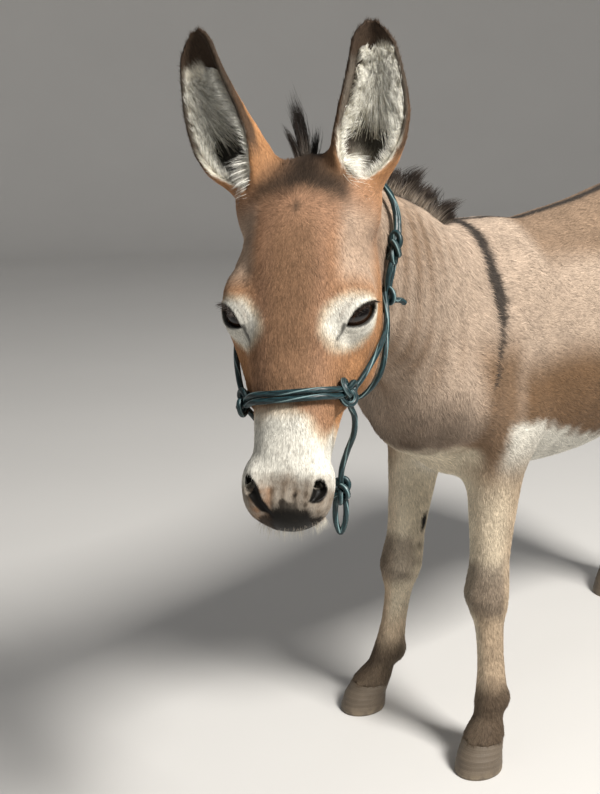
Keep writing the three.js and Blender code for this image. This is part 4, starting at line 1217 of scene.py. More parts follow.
class Hair:
    """Tufts rooted on the skin: each a thin closed spike of three base points and a tip."""

    def __init__(self, seed, regions, density):
        rng = np.random.default_rng(seed)
        spot = SKIN.spot
        share = spot.part(*regions)[SKIN.triangles].mean(1)
        bare = SKIN.bare[SKIN.triangles].mean(1)
        chosen, shares = tuft_places(rng, density * (share > 0.5) * (bare < 0.5))
        self.rows = SKIN.triangles[chosen]
        self.shares = shares
        self.root = on_triangles(SKIN.points, self.rows, shares)
        self.normal = unit(on_triangles(SKIN.normals, self.rows, shares))
        flow = on_triangles(SKIN.flow, self.rows, shares)
        self.flow = unit(flow - (flow * self.normal).sum(1, keepdims=True) * self.normal)
        self.tint = on_triangles(SKIN.tint, self.rows, shares)
        self.grain = on_triangles(SKIN.grain, self.rows, shares)
        self.skull = SKULL.local(self.root)
        self.rng = rng

    def size(self):
        return len(self.root)

    def patches(self):
        """Sheet places of each tuft's root."""
        turn_way = SKIN.turn_way[self.rows]
        chart = SKIN.chart[self.rows]
        lead = chart[:, :1]
        same = (chart == lead)[..., None]
        turn_way = np.where(same, turn_way, turn_way[:, :1])
        base = turn_way[:, :1, 0]
        turned = base + np.mod(turn_way[..., 0] - base + 0.5, 1) - 0.5
        turn_way = np.stack([turned, turn_way[..., 1]], -1)
        return on_sheet(lead[:, 0], (turn_way * self.shares[..., None]).sum(1))

    def spikes(self, name, length, width, lift, material, spread=0.22):
        """length, width and lift are numbers or one for each tuft, in mm and degrees.

        A spike's base is a flat triangle across the flow, its tip lies length down the flow, raised by lift,
        and its normals lean from the skin's towards its sides, so that each reads as a round lock.
        """
        n, rng = self.size(), self.rng
        length = length * rng.uniform(0.7, 1.3, n)
        width = np.broadcast_to(width, n) * rng.uniform(0.75, 1.25, n)
        rise = np.radians(lift * rng.uniform(0.5, 1.5, n))[:, None]
        sway = (rng.normal(0, spread, n) + 0.35 * ripple(self.root, 14, 3.0))[:, None]
        across = np.cross(self.normal, self.flow)
        ahead = unit(self.flow + sway * across)
        across = np.cross(self.normal, ahead)
        out = np.cos(rise) * ahead + np.sin(rise) * self.normal
        half, thick = (width / 2)[:, None], (width * 0.32)[:, None]
        root = self.root - 0.25 * self.normal
        points = np.stack([root + across * half, root - across * half,
                           root + self.normal * thick * 1.6 + ahead * half, root + out * length[:, None]], 1)
        normals = np.stack([self.normal + 0.55 * across, self.normal - 0.55 * across, self.normal,
                            self.normal + 0.25 * ahead], 1)
        corner = np.array([(0, 2, 3), (2, 1, 3), (1, 0, 3), (0, 1, 2)])
        tone = rng.random(n)
        lie_field = np.zeros((n, 4, 4))
        lie_field[..., 0] = tone[:, None]
        lie_field[:, 3, 1] = 1
        lie_field[:, :, 3] = 1
        patch = PATCH * np.array([(-1, -1), (1, -1), (0, 1), (0, 0)]) + self.patches()[:, None]
        pieces = -(-n // TUFTS_IN_PIECE)
        for number, rows in enumerate(np.array_split(np.arange(n), pieces)):
            count = len(rows)
            faces = (np.arange(count)[:, None, None] * 4 + corner).reshape(-1, 3)
            make_piece(
                f"{name}_{number + 1}" if pieces > 1 else name,
                to_frame(points[rows].reshape(-1, 3)), [faces], unit(normals[rows].reshape(-1, 3)),
                {"tint": with_alpha(np.repeat(self.tint[rows], 4, 0)), "lie": lie_field[rows].reshape(-1, 4),
                 "grain": np.repeat(self.grain[rows], 4, 0)},
                patch[rows][:, corner].reshape(-1, 2), material)


FLESH = ("trunk", "neck", "head", "ear_left", "ear_right", "foreleg_left", "foreleg_right", "hindleg_left",
         "hindleg_right", "tail")
# piece name, parts of the body, tufts to the square centimetre, length, width and lift
COATS = (
    ("coat_trunk", ("trunk",), 10.4, 11, 1.25, 7),
    ("coat_neck", ("neck",), 15, 11, 1.1, 8),
    ("coat_head", ("head",), 34, 6.5, 0.8, 8),
    ("coat_ears", ("ear_left", "ear_right"), 24, 7, 0.8, 10),
    ("coat_forelegs", ("foreleg_left", "foreleg_right"), 18, 8.5, 1.1, 8),
    ("coat_hindlegs", ("hindleg_left", "hindleg_right"), 12, 9.5, 1.2, 8),
    ("coat_tail", ("tail",), 16, 20, 1.5, 12),
)


def build_skin(tone, material):
    SKIN.build(tone)
    make_piece("skin", to_frame(SKIN.points), [SKIN.triangles], SKIN.normals, SKIN.fields(),
               corner_places(SKIN.triangles, SKIN.spot), material, FLESH)


def build_coat(material):
    for seed, (name, regions, density, length, width, lift) in enumerate(COATS):
        hair = Hair(seed + 11, regions, density)
        u, v, _ = hair.skull.T
        size = np.ones(hair.size())
        if name == "coat_head":
            eye = np.min([np.abs(across_eye(EYES[s].local(hair.root))) + 40 * (np.sign(v) != s)
                          for s in SIDES], 0)
            size = (0.45 + 0.55 * smooth(2, 26, eye)) * (1 - 0.4 * smooth(330, 420, u))
            size *= 1 + 0.9 * smooth(30, -10, u)
        hair.spikes(name, length * size, width * (0.6 + 0.4 * size), lift, material)


# ---------------------------------------------------------------- materials

class Value:
    """A socket that adds Math nodes when it is used in an expression."""

    def __init__(self, maker, socket):
        self.maker, self.socket = maker, socket

    def apply(self, operation, *others):
        return self.maker.node("ShaderNodeMath", {"operation": operation}, self, *others)

    def __add__(self, other):
        return self.apply("ADD", other)

    def __sub__(self, other):
        return self.apply("SUBTRACT", other)

    def __rsub__(self, other):
        return self.maker.node("ShaderNodeMath", {"operation": "SUBTRACT"}, other, self)

    def __mul__(self, other):
        return self.apply("MULTIPLY", other)

    def __pow__(self, other):
        return self.apply("POWER", other)

    __radd__ = __add__
    __rmul__ = __mul__

    def ramp(self, low, high):
        """0 at low, 1 at high."""
        return self.maker.node("ShaderNodeMapRange", {"interpolation_type": "SMOOTHSTEP"}, self, low, high)


class Finish:
    """A material under construction."""

    def __init__(self, name, roughness=0.6, **fixed):
        self.material = bpy.data.materials.new(name)
        self.material.use_nodes = True
        self.tree = self.material.node_tree
        self.shader = self.tree.nodes["Principled BSDF"]
        self.shader.inputs["Roughness"].default_value = roughness
        for socket, value in fixed.items():
            self.shader.inputs[socket.replace("_", " ")].default_value = value

    def plug(self, socket, value):
        if isinstance(value, Value):
            self.tree.links.new(value.socket, socket)
        elif value is not None:
            socket.default_value = value[:len(socket.default_value)] if hasattr(value, "__len__") else value

    def node(self, kind, settings=None, *inputs, out=0):
        """One node: its settings first, then its inputs in order or by name; returns one output."""
        node = self.tree.nodes.new(kind)
        for key, value in (settings or {}).items():
            if key != "named":
                setattr(node, key, value)
        for socket, value in zip([s for s in node.inputs if s.enabled], inputs):
            self.plug(socket, value)
        for key, value in (settings or {}).get("named", {}).items():
            self.plug(node.inputs[key], value)
        return Value(self, node.outputs[out])

    def mix(self, a, b, factor):
        """Colours a and b by a factor."""
        return self.node("ShaderNodeMix", {"data_type": "RGBA"}, factor, a, b, out=2)

    def scale(self, colour, factor):
        """A colour times a value."""
        return self.node("ShaderNodeVectorMath", {"operation": "SCALE", "named": {"Scale": factor}}, colour)

    def stretch(self, vector, x, y, z):
        return self.node("ShaderNodeVectorMath", {"operation": "MULTIPLY"}, vector, (x, y, z))

    def attribute(self, name, out=0):
        return self.node("ShaderNodeAttribute", {"attribute_name": name}, out=out)

    def split(self, value, kind="XYZ"):
        """The three numbers of a vector, or of a colour where kind is Color."""
        node = self.tree.nodes.new("ShaderNodeSeparate" + kind)
        self.plug(node.inputs[0], value)
        return [Value(self, output) for output in node.outputs]

    def place(self):
        """Object coordinates, in metres."""
        return self.node("ShaderNodeTexCoord", out=3)

    def noise(self, vector, scale, detail=3.0, roughness=0.5):
        return self.node("ShaderNodeTexNoise", {"named": {
            "Vector": vector, "Scale": scale, "Detail": detail, "Roughness": roughness}})

    def bump(self, height, strength, distance):
        return self.node("ShaderNodeBump", {"named": {
            "Height": height, "Strength": strength, "Distance": distance}})

    def done(self, colour, roughness=None, normal=None):
        """The material, with what changes over its surface plugged in."""
        self.plug(self.shader.inputs["Base Color"], colour)
        self.plug(self.shader.inputs["Roughness"], roughness)
        if normal:
            self.plug(self.shader.inputs["Normal"], normal)
        return self.material


def rgba(colour):
    return (*colour[:3], 1.0)


def coat_finish():
    """Hair: the marking's colour, darker at the roots and paler at the tips (partly the hair's own colour,
    partly painted shade and highlight), each tuft a little its own, a painted glint on the tips of a few
    tufts, and fine grain along the lie; bare skin is smoother and has no grain."""
    f = Finish("coat", 0.62, Sheen_Weight=0.02, Specular_IOR_Level=0.1)
    tint = f.attribute("tint")
    tone, along, bare = f.split(f.attribute("lie"), "Color")
    grain = f.attribute("grain", out=1)
    streaks = f.noise(f.stretch(grain, 0.55, 0.55, 0.07), 1.0, 4.0, 0.6)
    patches = f.noise(f.place(), 28.0, 3.0)
    pores = f.noise(f.place(), 900.0, 3.0)
    # darker roots and paler tips: partly the hair's own colour, partly painted shade and highlight
    shade = 0.55 + 0.5 * tone + 0.3 * along + (patches - 0.5) * 0.5
    streak = (streaks.ramp(0.25, 0.75) - 0.5) * 0.5
    shade = shade + streak * (1 - bare)
    # painted glint: a pale painted highlight on the tips of a few tufts
    painted_glint = tone.ramp(0.84, 0.9) * along * (1 - bare)
    colour = f.scale(tint, shade + painted_glint * 0.35)
    rough = 0.66 - 0.14 * along - 0.22 * bare
    height = streaks * (1 - bare) + pores * bare * 0.5
    return f.done(colour, rough, f.bump(height, 0.5, 0.0012))


def hair_finish(name, root, tip, roughness=0.5):
    """Long hair: root colour to tip colour along each strand, with its own tone and fine bands along it."""
    f = Finish(name, roughness, Specular_IOR_Level=0.3)
    tone, along, _ = f.split(f.attribute("lie"), "Color")
    colour = f.mix(rgba(root), rgba(tip), along.ramp(0.05, 0.65))
    bands = f.noise(f.place(), 420.0, 2.0)
    colour = f.scale(colour, 0.62 + 0.6 * tone + (bands - 0.5) * 0.5)
    return f.done(colour, roughness - 0.1 * tone + 0.1 * bands)


def eye_finish(brown):
    """A dark eye: brown iris with radial fibres, a wide pupil lying along the slit, and a wet clear coat."""
    f = Finish("eye", 0.2, Coat_Weight=0.55, Coat_Roughness=0.03, Specular_IOR_Level=0.2)
    globe = f.attribute("globe", out=1)
    x, y, _ = f.split(globe)
    across = (x * x * 0.9 + y * y) ** 0.5
    pupil = ((x * 0.62) ** 2.0 + (y * 1.35) ** 2.0) ** 0.5
    fibres = f.noise(f.stretch(globe, 9.0, 9.0, 1.0), 3.0, 4.0)
    iris = f.mix(rgba([c * 0.35 for c in brown]), rgba(brown), fibres.ramp(0.35, 0.7))
    iris = f.mix(iris, (0.004, 0.003, 0.003, 1), 1 - pupil.ramp(0.26, 0.34))
    white = f.mix(iris, (0.035, 0.022, 0.018, 1), across.ramp(0.74, 0.82))
    return f.done(white, 0.1 + 0.05 * fibres)


def hoof_finish(horn):
    """Horn: growth rings round the wall, fine grain down it, and dried dirt at its foot."""
    f = Finish("hoof", 0.55)
    wall = f.attribute("wall", out=1)
    _, height, sole = f.split(wall)
    rings = f.noise(f.stretch(wall, 0.6, 90.0, 0.0), 1.0, 3.0)
    grain = f.noise(f.stretch(wall, 160.0, 5.0, 0.0), 1.0, 3.0)
    mottle = f.noise(f.place(), 60.0, 4.0)
    dark, pale = [c * 0.45 for c in horn], [min(c * 1.7, 1) for c in horn]
    colour = f.mix(rgba(dark), rgba(pale), rings * 0.5 + grain * 0.3 + mottle * 0.3)
    dirt = (1 - height.ramp(0.02, 0.35)) * mottle.ramp(0.4, 0.6)
    colour = f.mix(colour, (0.24, 0.19, 0.13, 1), dirt * 0.7)
    colour = f.mix(colour, (0.10, 0.08, 0.06, 1), sole)
    return f.done(colour, 0.45 + 0.3 * mottle, f.bump(rings + grain * 0.4, 0.6, 0.0012))


def rope_finish(teal, fleck):
    """Braided cord: two families of strands wound in opposite senses, darker in the weave's low parts as
    painted shade, with pale lines along it that are partly flecks in the cord and partly painted highlight.
    """
    f = Finish("rope", 0.45, Specular_IOR_Level=0.35)
    weave = f.attribute("weave", out=1)
    around, along, _ = f.split(weave)

    def family(sense):
        phase = around * 5.0 + along * (sense * 0.02)
        return (phase * AROUND).apply("SINE") * 0.5 + 0.5

    left, right = family(1), family(-1)
    over = ((along * 0.04 + around * 2.0) * AROUND).apply("SINE").ramp(-0.3, 0.3)
    height = left * over + right * (1 - over)
    # pale lines along the cord: partly pale flecks in it, partly painted highlight
    speckle_and_highlight_lines = ((around * 2.0 + along * 0.012) * AROUND).apply("SINE").ramp(0.86, 0.99)
    fuzz = f.noise(f.place(), 1400.0, 2.0)
    # darker in the low parts of the weave: painted shade in its grooves
    colour = f.mix(rgba([c * 0.3 for c in teal]), rgba([min(1, c * 1.1) for c in teal]), height)
    colour = f.mix(colour, rgba(fleck), speckle_and_highlight_lines * (0.35 + 0.5 * fuzz))
    return f.done(colour, 0.30 + 0.2 * fuzz, f.bump(height + 0.2 * fuzz, 0.45, 0.0005))


def stage_finish(name, colour):
    """A plain pale surface with a very faint mottle."""
    f = Finish(name, 0.9)
    mottle = f.noise(f.place(), 1.5, 2.0)
    return f.done(f.scale(rgba(colour), 0.97 + 0.06 * mottle))


# ---------------------------------------------------------------- eyes

def globe(rows, columns):
    """Points of a unit ball on rows of latitude from its front pole, their quads and two closing fans."""
    polar = np.linspace(0, np.pi, rows + 1)[1:-1, None]
    turnings = round_turns(columns)[None]
    ring = np.stack([np.sin(polar) * np.cos(turnings), np.sin(polar) * np.sin(turnings),
                     np.cos(polar) * np.ones_like(turnings)], -1).reshape(-1, 3)
    points = np.concatenate([ring, [(0, 0, 1), (0, 0, -1)]])
    return points, grid_faces(rows - 1, columns), fan_faces(rows - 1, columns)


def round_turns(columns):
    """Equal turns once round, from 0."""
    return np.linspace(0, AROUND, columns, endpoint=False)


def grid_faces(rows, columns):
    """Quads between rows of points round a closed shape, outwards for rings that follow the right hand."""
    i, j = np.meshgrid(np.arange(rows - 1), np.arange(columns), indexing="ij")
    k = (j + 1) % columns
    a, b = i * columns, (i + 1) * columns
    return np.stack([a + j, b + j, b + k, a + k], -1).reshape(-1, 4)


def fan_faces(rows, columns):
    """Triangles that close the first ring on point rows x columns and the last on the point after it."""
    j = np.arange(columns)
    k = (j + 1) % columns
    first, last = rows * columns, (rows - 1) * columns
    return np.concatenate([np.stack([j, k, np.full(columns, first)], 1),
                           np.stack([last + k, last + j, np.full(columns, first + 1)], 1)])


def build_eyes(finish):
    """Each eye is an ellipsoid whose front bulges a little as the cornea does: its height there grows by
    0.05 exp(-(distance from the middle / 0.5) squared)."""
    points, quads, fans = globe(rows=40, columns=56)
    bulge = 1 + 0.05 * np.exp(-(np.hypot(points[:, 0], points[:, 1]) / 0.5) ** 2) * (points[:, 2] > 0)
    for side, name in SIDE_NAMES.items():
        local = points * bulge[:, None] * np.array(EYE["radii"])
        axes = EYES[side]
        faces = [quads, fans]
        if np.linalg.det(axes.axes) < 0:
            faces = [f[:, ::-1] for f in faces]
        normals = unit(axes.direction(points / EYE["radii"]))
        make_piece(f"eyeball_{name}", to_frame(axes.point(local)), faces, normals, {"globe": points},
                   material=finish, stands_for=(f"eye_{name}",))


# ---------------------------------------------------------------- hooves

HOOF_TOP = 53                    # height of the horn's top edge, in mm
# height, share of the way to the ground point, half width, half length
HOOF_ROWS = np.array([(0, 1, 37, 48), (2.5, 1, 38.2, 49.2), (8, 0.97, 38, 49), (30, 0.7, 36, 45),
                      (46, 0.15, 34.3, 41.5), (HOOF_TOP, 0, 32.5, 39.5)], float)


def build_hoof(name, coronet, toe, finish):
    """Rings from the sole to the coronet: a rounded toe, heels drawn in at the back with a cleft between
    them, and growth rings that stand out by fractions of a millimetre."""
    rows, columns = 44, 72
    z = HOOF_TOP * np.linspace(0, 1, rows) ** 0.9
    share, width, depth = (np.interp(z, HOOF_ROWS[:, 0], column)[:, None] for column in HOOF_ROWS[:, 1:].T)
    turning = round_turns(columns)[None]
    z = z[:, None]
    heel = np.where(np.sin(turning) > 0, 0.86, 1)
    cleft = 7.5 * np.exp(-((turning - np.pi / 2) / 0.24) ** 2) * smooth(HOOF_TOP, 20, z)
    quarters = 1.6 * np.exp(-((np.abs(turning - np.pi / 2) - 0.55) / 0.3) ** 2)
    growth = 0.22 * np.sin(z * 0.7 + 0.9 * np.sin(turning * 2)) + 0.12 * np.sin(z * 1.9 + turning)
    out = growth * smooth(0, 4, z) + quarters - cleft
    x = coronet[0] + (toe[0] - coronet[0]) * share + (width + out) * np.cos(turning)
    y = coronet[1] + (toe[1] - coronet[1] - 4) * share + (depth * heel + out) * np.sin(turning)
    points = np.stack([x, y, z + 0 * x], -1)
    poles = np.stack([points[0].mean(0), points[-1].mean(0)])
    wall = np.stack([turning / AROUND + 0 * x, z / HOOF_TOP + 0 * x, 0 * x], -1).reshape(-1, 3)
    wall = np.concatenate([wall, [(0, 0, 1), (0, 1, 0)]])
    points = np.concatenate([points.reshape(-1, 3), poles])
    quads, fans = grid_faces(rows, columns)[:, ::-1], fan_faces(rows, columns)[:, ::-1]
    make_piece(f"horn_{name}", to_frame(points), [quads, fans], None, {"wall": wall}, material=finish,
               stands_for=(f"hoof_{name}",))


def build_hooves(finish):
    """The four hooves, each from its coronet to its place on the ground."""
    for side, word in SIDE_NAMES.items():
        build_hoof(f"fore_{word}", FORE[side]["coronet"], FORE[side]["toe"], finish)
        build_hoof(f"hind_{word}", HIND[side]["coronet"], HIND[side]["toe"], finish)


# ---------------------------------------------------------------- halter

ROPE_RADIUS, ROPE_RISE = 3.9, 0.9  # the rise is its clearance over the coat, in mm
ROPE_STEP = 1.6                    # from one ring of a rope to the next
HEAD_MIDDLE = (150, 0, -80)        # in the head's frame: the ropes' sections face away from it
COAT_DEPTH, FACE_DEPTH = 4, 2


def dressed(points):
    """The field out to the coat's tips."""
    torso = np.minimum(PARTS["trunk"](points), PARTS["neck"](points)) - COAT_DEPTH
    return soft_min(PARTS["head"](points) - FACE_DEPTH, torso, 6)


def rope_places(route, lift=0.0):
    """A rope's middle over the head for rows of u, degrees round from the left towards the brow, and the
    depth of the middle that they are measured from: the last crossing of each ray with the coat."""
    route = np.array([(*row, -70) if len(row) == 2 else row for row in route], float)
    u, degrees, depth = route.T
    start = SKULL.point(np.stack([u, 0 * u, depth], 1))
    ahead = SKULL.direction(np.stack([0 * u, np.cos(np.radians(degrees)), np.sin(np.radians(degrees))], 1))
    return first_crossing(dressed, start, ahead, ROPE_RADIUS + ROPE_RISE + lift, 260)


def smooth_path(points, spacing):
    """Points spacing apart on a smooth curve through the given ones, and the lengths up to them."""
    points = np.asarray(points, float)
    knots = np.concatenate([[0], np.cumsum(np.sqrt(np.linalg.norm(np.diff(points, axis=0), axis=1)))])
    dense = hermite(np.linspace(0, knots[-1], 40 * len(points)), knots, points)
    length = np.concatenate([[0], np.cumsum(np.linalg.norm(np.diff(dense, axis=0), axis=1))])
    count = max(6, int(round(length[-1] / spacing)) + 1)
    way = np.linspace(0, length[-1], count)
    return np.stack([np.interp(way, length, dense[:, i]) for i in range(3)], 1), way


def tube(path, way, outward, columns=14, closed=False):
    """A round section carried along a path, with rounded ends: each ring stands across the path, its first
    direction the part of outward that is square to it."""
    ahead = np.gradient(path, axis=0) if not closed else np.roll(path, -1, 0) - np.roll(path, 1, 0)
    ahead = unit(ahead)
    first = unit(outward - (outward * ahead).sum(1, keepdims=True) * ahead)
    second = np.cross(ahead, first)
    turning = round_turns(columns)
    radius = np.full(len(path), ROPE_RADIUS)
    if not closed:
        end = np.minimum(way, way[-1] - way)
        radius *= np.sqrt(np.clip(1 - (1 - np.clip(end / ROPE_RADIUS, 0, 1)) ** 2, 0.04, 1))
    ring = np.cos(turning)[None, :, None] * first[:, None] + np.sin(turning)[None, :, None] * second[:, None]
    points = path[:, None] + radius[:, None, None] * ring
    weave = np.stack(np.broadcast_arrays(turning[None] / AROUND, way[:, None], np.zeros((1, 1))), -1)
    rows = len(path)
    if closed:
        points, ring, weave = (np.concatenate([a, a[:1]]) for a in (points, ring, weave))
        rows += 1
    faces = [grid_faces(rows, columns)[:, ::-1]]
    points, ring, weave = (a.reshape(-1, 3) for a in (points, ring, weave))
    if not closed:
        points = np.concatenate([points, path[[0, -1]]])
        ring = np.concatenate([ring, [-ahead[0], ahead[-1]]])
        weave = np.concatenate([weave, np.zeros((2, 3))])
        faces.append(fan_faces(rows, columns)[:, ::-1])
    return points, ring, weave, faces


def join(parts):
    """Tubes as one set of arrays, with all their quads before their closing fans."""
    starts = np.cumsum([0] + [len(part[0]) for part in parts])
    points, rings, weaves = (np.concatenate([part[i] for part in parts]) for i in range(3))
    faces = [[f + start for f in part[3]] for part, start in zip(parts, starts)]
    quads = [group[0] for group in faces]
    fans = [f for group in faces for f in group[1:]]
    return points, rings, weaves, [np.concatenate(group) for group in (quads, fans) if group]


def run(points):
    """A stretch of rope through points on the head."""
    path, way = smooth_path(points, ROPE_STEP)
    return tube(path, way, path - SKULL.point(HEAD_MIDDLE))


def knot(centre, size, turns=2, lobes=3):
    """A wrapped knot: a closed torus knot, (R + r cos(lobes a)) round turns times and r sin(lobes a) high,
    flattened against the head."""
    centre = np.asarray(centre, float)
    a = round_turns(150)
    ring, swing = 0.58, 0.34      # R and r over the knot's half size
    local = np.stack([(ring + swing * np.cos(lobes * a)) * np.cos(turns * a),
                      (ring + swing * np.cos(lobes * a)) * np.sin(turns * a), swing * np.sin(lobes * a)], 1)
    outward = unit(SKULL.local(centre) * (0, 1, 1) - (0, 0, -70))
    along = np.array((1.0, 0, 0))
    axes = np.array([along, np.cross(outward, along), outward]) @ SKULL.axes
    path = centre + (local * np.asarray(size)) @ axes
    way = np.linspace(0, 6 * AROUND, len(path))
    return tube(path, way, path - centre + 0.01, 12, True)


def mirrored(route, side):
    return [(row[0], row[1] if side > 0 else 180 - row[1], *row[2:]) for row in route]


NOSE_KNOT = {1: (287, 22), -1: (299, 18)}
THROAT_KNOT, TIE = (121, -28, -106), (54, -9, -118)
NOSE_ROUTE = ((286, 20), (293, 36), (300, 55), (305, 75), (307, 90), (308, 105), (307, 125), (304, 146),
              (299, 164))
KNOT_SIZE = (18, 17, 14)


def knot_at(place, side=1, lift=2.0, size=KNOT_SIZE, **shape):
    return knot(rope_places(mirrored([place], side), lift)[0], size, **shape)


def noseband():
    """Two strands over the nose, joined by the side knots."""
    def strand(shift):
        return run(rope_places([(u + shift * (0.4 if abs(d - 90) > 65 else 1), d) for u, d in NOSE_ROUTE]))

    return [strand(-4.2), strand(4.2), *(knot_at(NOSE_KNOT[s], s) for s in SIDES)]


CROWN_ROUTE = (THROAT_KNOT, (100, -20, -108), (78, -14, -112), (50, -8, -120), (20, -2, -132),
               (-10, 8, -144), (-32, 26, -150), (-47, 54, -150), (-54, 90, -150), (-48, 122, -142),
               (-32, 150, -132), (-8, 168, -120), (22, 180, -110), (52, 188, -106), (78, 194, -106),
               (100, 200, -106), (121, 208, -106))


def crown():
    """Two strands behind the ears between the throat knots, with the tie and the tail on the left."""
    def strand(shift):
        return run(rope_places([(u + shift * 0.4, d, depth - shift) for u, d, depth in CROWN_ROUTE], 3))

    tie = knot_at(TIE, size=(25, 14, 14), lobes=5)
    start = rope_places([THROAT_KNOT], 3)[0]
    tail = run(start + SKULL.direction([(0, 0, 0), (-2, 9, -8), (-5, 17, -17), (-3, 23, -26)]))
    return [strand(-4.5), strand(4.5), tie, tail, *(knot_at(THROAT_KNOT, s) for s in SIDES)]


def cheek(side):
    route = ((NOSE_KNOT[side][0] - 3, 15), (262, 5), (215, -12), (170, -24), (123, -29))
    return [run(rope_places(mirrored(route, side)))]


def throat():
    half = ((123, -33), (160, -36), (200, -38), (232, -43), (254, -56), (264, -72))
    return [run(rope_places((*half, (268, -90), *mirrored(half[::-1], -1))))]


def chin():
    """The two ends gather under the jaw in a knot and go down in a hanging loop."""
    centre = SKULL.point((391, 47, -137))
    slack = ((300, 68, -54), (312, 72, -70), (329, 69, -87), (348, 58, -106), (368, 49, -124))
    parts = [knot(centre, (18, 14, 14), lobes=5),
             run([*rope_places([(290, 14)]), *SKULL.point(slack), centre]),
             run([*rope_places(mirrored(((302, 10), (326, -20), (352, -48)), -1)), centre])]
    sway = SKULL.axes[1]
    down = np.array([0, 0, -1.0])
    loop = [centre + down * depth + sway * bulge for depth, bulge in
            ((0, -4), (22, -7), (44, -6), (58, 0), (44, 6), (22, 7), (0, 4))]
    parts.append(run(loop))
    return parts


def build_halter(finish):
    sections = {"noseband": noseband(), "crown": crown(), "cheek_left": cheek(1), "cheek_right": cheek(-1),
                "throat": throat(), "chin": chin()}
    for name, parts in sections.items():
        points, ring, weave, faces = join(parts)
        make_piece(f"rope_{name}", to_frame(points), faces, ring, {"weave": weave}, material=finish,
                   stands_for=(f"halter_{name}",))


# ---------------------------------------------------------------- long hair



def sheet_places(points):
    """Where roots that aren't on a skin triangle lie on the bake sheet."""
    return on_sheet(*unwrap(Spot(points, np.tile((0, 0, 1.0), (len(points), 1)))))


def strands(name, root, ahead, bend, length, radius, rng, finish, stands_for=(), gather=None,
            gathering=0.0, seed=0, rings=3):
    """Tapering strands of three sides: root + length (t ahead + t2 bend), each drawn by gathering t to the
    power 1.5 towards the strand that it gathers to, and swayed by a ripple. The radius falls as (1 - t) to
    the power 0.6, over rings triangles before the tip."""
    n = len(root)
    t = np.linspace(0, 1, rings + 1)[None, :, None]
    length = np.broadcast_to(length, n)[:, None, None]
    path = root[:, None] + length * (t * ahead[:, None] + t ** 2 * bend[:, None])
    if gather is not None:
        path = path + gathering * t ** 1.5 * (path[gather] - path)
    sway = np.stack([ripple(path[..., i].reshape(-1, 1) + np.zeros(3) + 40 * i, 9, seed)
                     for i in range(3)], -1)
    path = path + 0.035 * length * t * sway.reshape(path.shape)
    along = unit(np.gradient(path, axis=1))
    middle = path.mean((0, 1)) - (0, 0, 40)
    across = unit(np.cross(along, path - middle))
    other = np.cross(along, across)
    angle = np.arange(3) * AROUND / 3 + 0.5
    ring = np.cos(angle)[:, None] * across[:, :, None] + np.sin(angle)[:, None] * other[:, :, None]
    thick = np.broadcast_to(radius, n)[:, None, None, None] * ((1 - t[..., None]) ** 0.6)
    points = path[:, :, None] + thick * ring
    body = points[:, :rings].reshape(n, -1, 3)
    points = np.concatenate([body, path[:, -1:]], 1)
    normals = np.concatenate([ring[:, :rings].reshape(n, -1, 3), along[:, -1:]], 1)
    size = points.shape[1]
    quads = grid_faces(rings, 3)[:, ::-1]
    low = 3 * (rings - 1)
    fans = np.array([(low + k, low + (k + 1) % 3, size - 1) for k in range(3)] + [(2, 1, 0)])
    offset = np.arange(n)[:, None, None] * size
    faces = [(offset + quads).reshape(-1, 4), (offset + fans).reshape(-1, 3)]
    lie_field = np.zeros((n, size, 4))
    lie_field[..., 0] = rng.random(n)[:, None]
    lie_field[..., 1] = np.concatenate([np.repeat(t[0, :rings, 0], 3), [1]])
    lie_field[..., 3] = 1
    patch = sheet_places(root)[:, None] + PATCH * np.stack(
        [np.cos(np.arange(size) * 2.4), np.sin(np.arange(size) * 2.4)], 1)
    places = np.concatenate([patch[:, quads].reshape(-1, 2), patch[:, fans].reshape(-1, 2)])
    make_piece(name, to_frame(points.reshape(-1, 3)), faces, unit(normals.reshape(-1, 3)),
               {"lie": lie_field.reshape(-1, 4)}, places, finish, stands_for)


def clumps(along, width):
    """Groups strands by their place along a line: for each strand, the number of its group's first strand."""
    group = np.floor(along / width).astype(int)
    _, first, where = np.unique(group, return_index=True, return_inverse=True)
    return first[where]


def crest(t):
    """The neck's ridge from the poll, t 0, to the withers, t 1, with its height found on the body."""
    poll, withers = (76, -452), (2, -70)
    x = poll[0] + (withers[0] - poll[0]) * t ** 0.9
    y = poll[1] + (withers[1] - poll[1]) * t
    start = np.stack([x, y, np.full(len(t), 800.0)], 1)
    up = np.tile((0, 0, 1.0), (len(t), 1))
    torso = Field(PARTS["trunk"].masses + PARTS["neck"].masses)
    return first_crossing(torso, start, up, 0.0, 300)


def build_mane(finish):
    """A short upright mane: tufts along the crest that stand up, lean left and curl back at their tips."""
    rng = np.random.default_rng(31)
    n = 2600
    t = np.sort(rng.random(n))
    root = crest(t) + np.stack([rng.normal(0, 6, n), np.zeros(n), -4 - 0 * t], 1)
    tall = 46 * np.minimum(1, np.minimum(0.4 + 4 * t, 0.35 + 3 * (1 - t))) * (1 + 0.26 * np.sin(t * 62))
    side = (root[:, 0] - crest(t)[:, 0]) / 14
    ahead = unit(np.stack([0.12 + side * 0.7, rng.normal(0.06, 0.12, n), np.ones(n)], 1))
    bend = np.stack([0.22 + 0.1 * rng.normal(0, 1, n), 0.30 + 0.35 * t, -0.12 * np.ones(n)], 1)
    strands("mane_hair", root, ahead, bend, tall * rng.uniform(0.6, 1.15, n), 0.6, rng, finish, ("mane",),
            clumps(t + 0.006 * rng.random(n), 0.075), 0.6, 3, 4)


# each point of the forelock: its end, how far it bows out, the spread of its strands and their number
LOCKS = (((-126, -30, -30), (0, 14, 4), (6, 5, 4), 300), ((-84, -40, -30), (0, 14, 4), (3, 2, 3), 110),
         ((-88, 6, -50), (0, 4, 0), (3, 3, 3), 110), ((-84, -16, -38), (0, 10, 2), (7, 7, 4), 240))
LOCK_ROOT = (6, -4, -36)


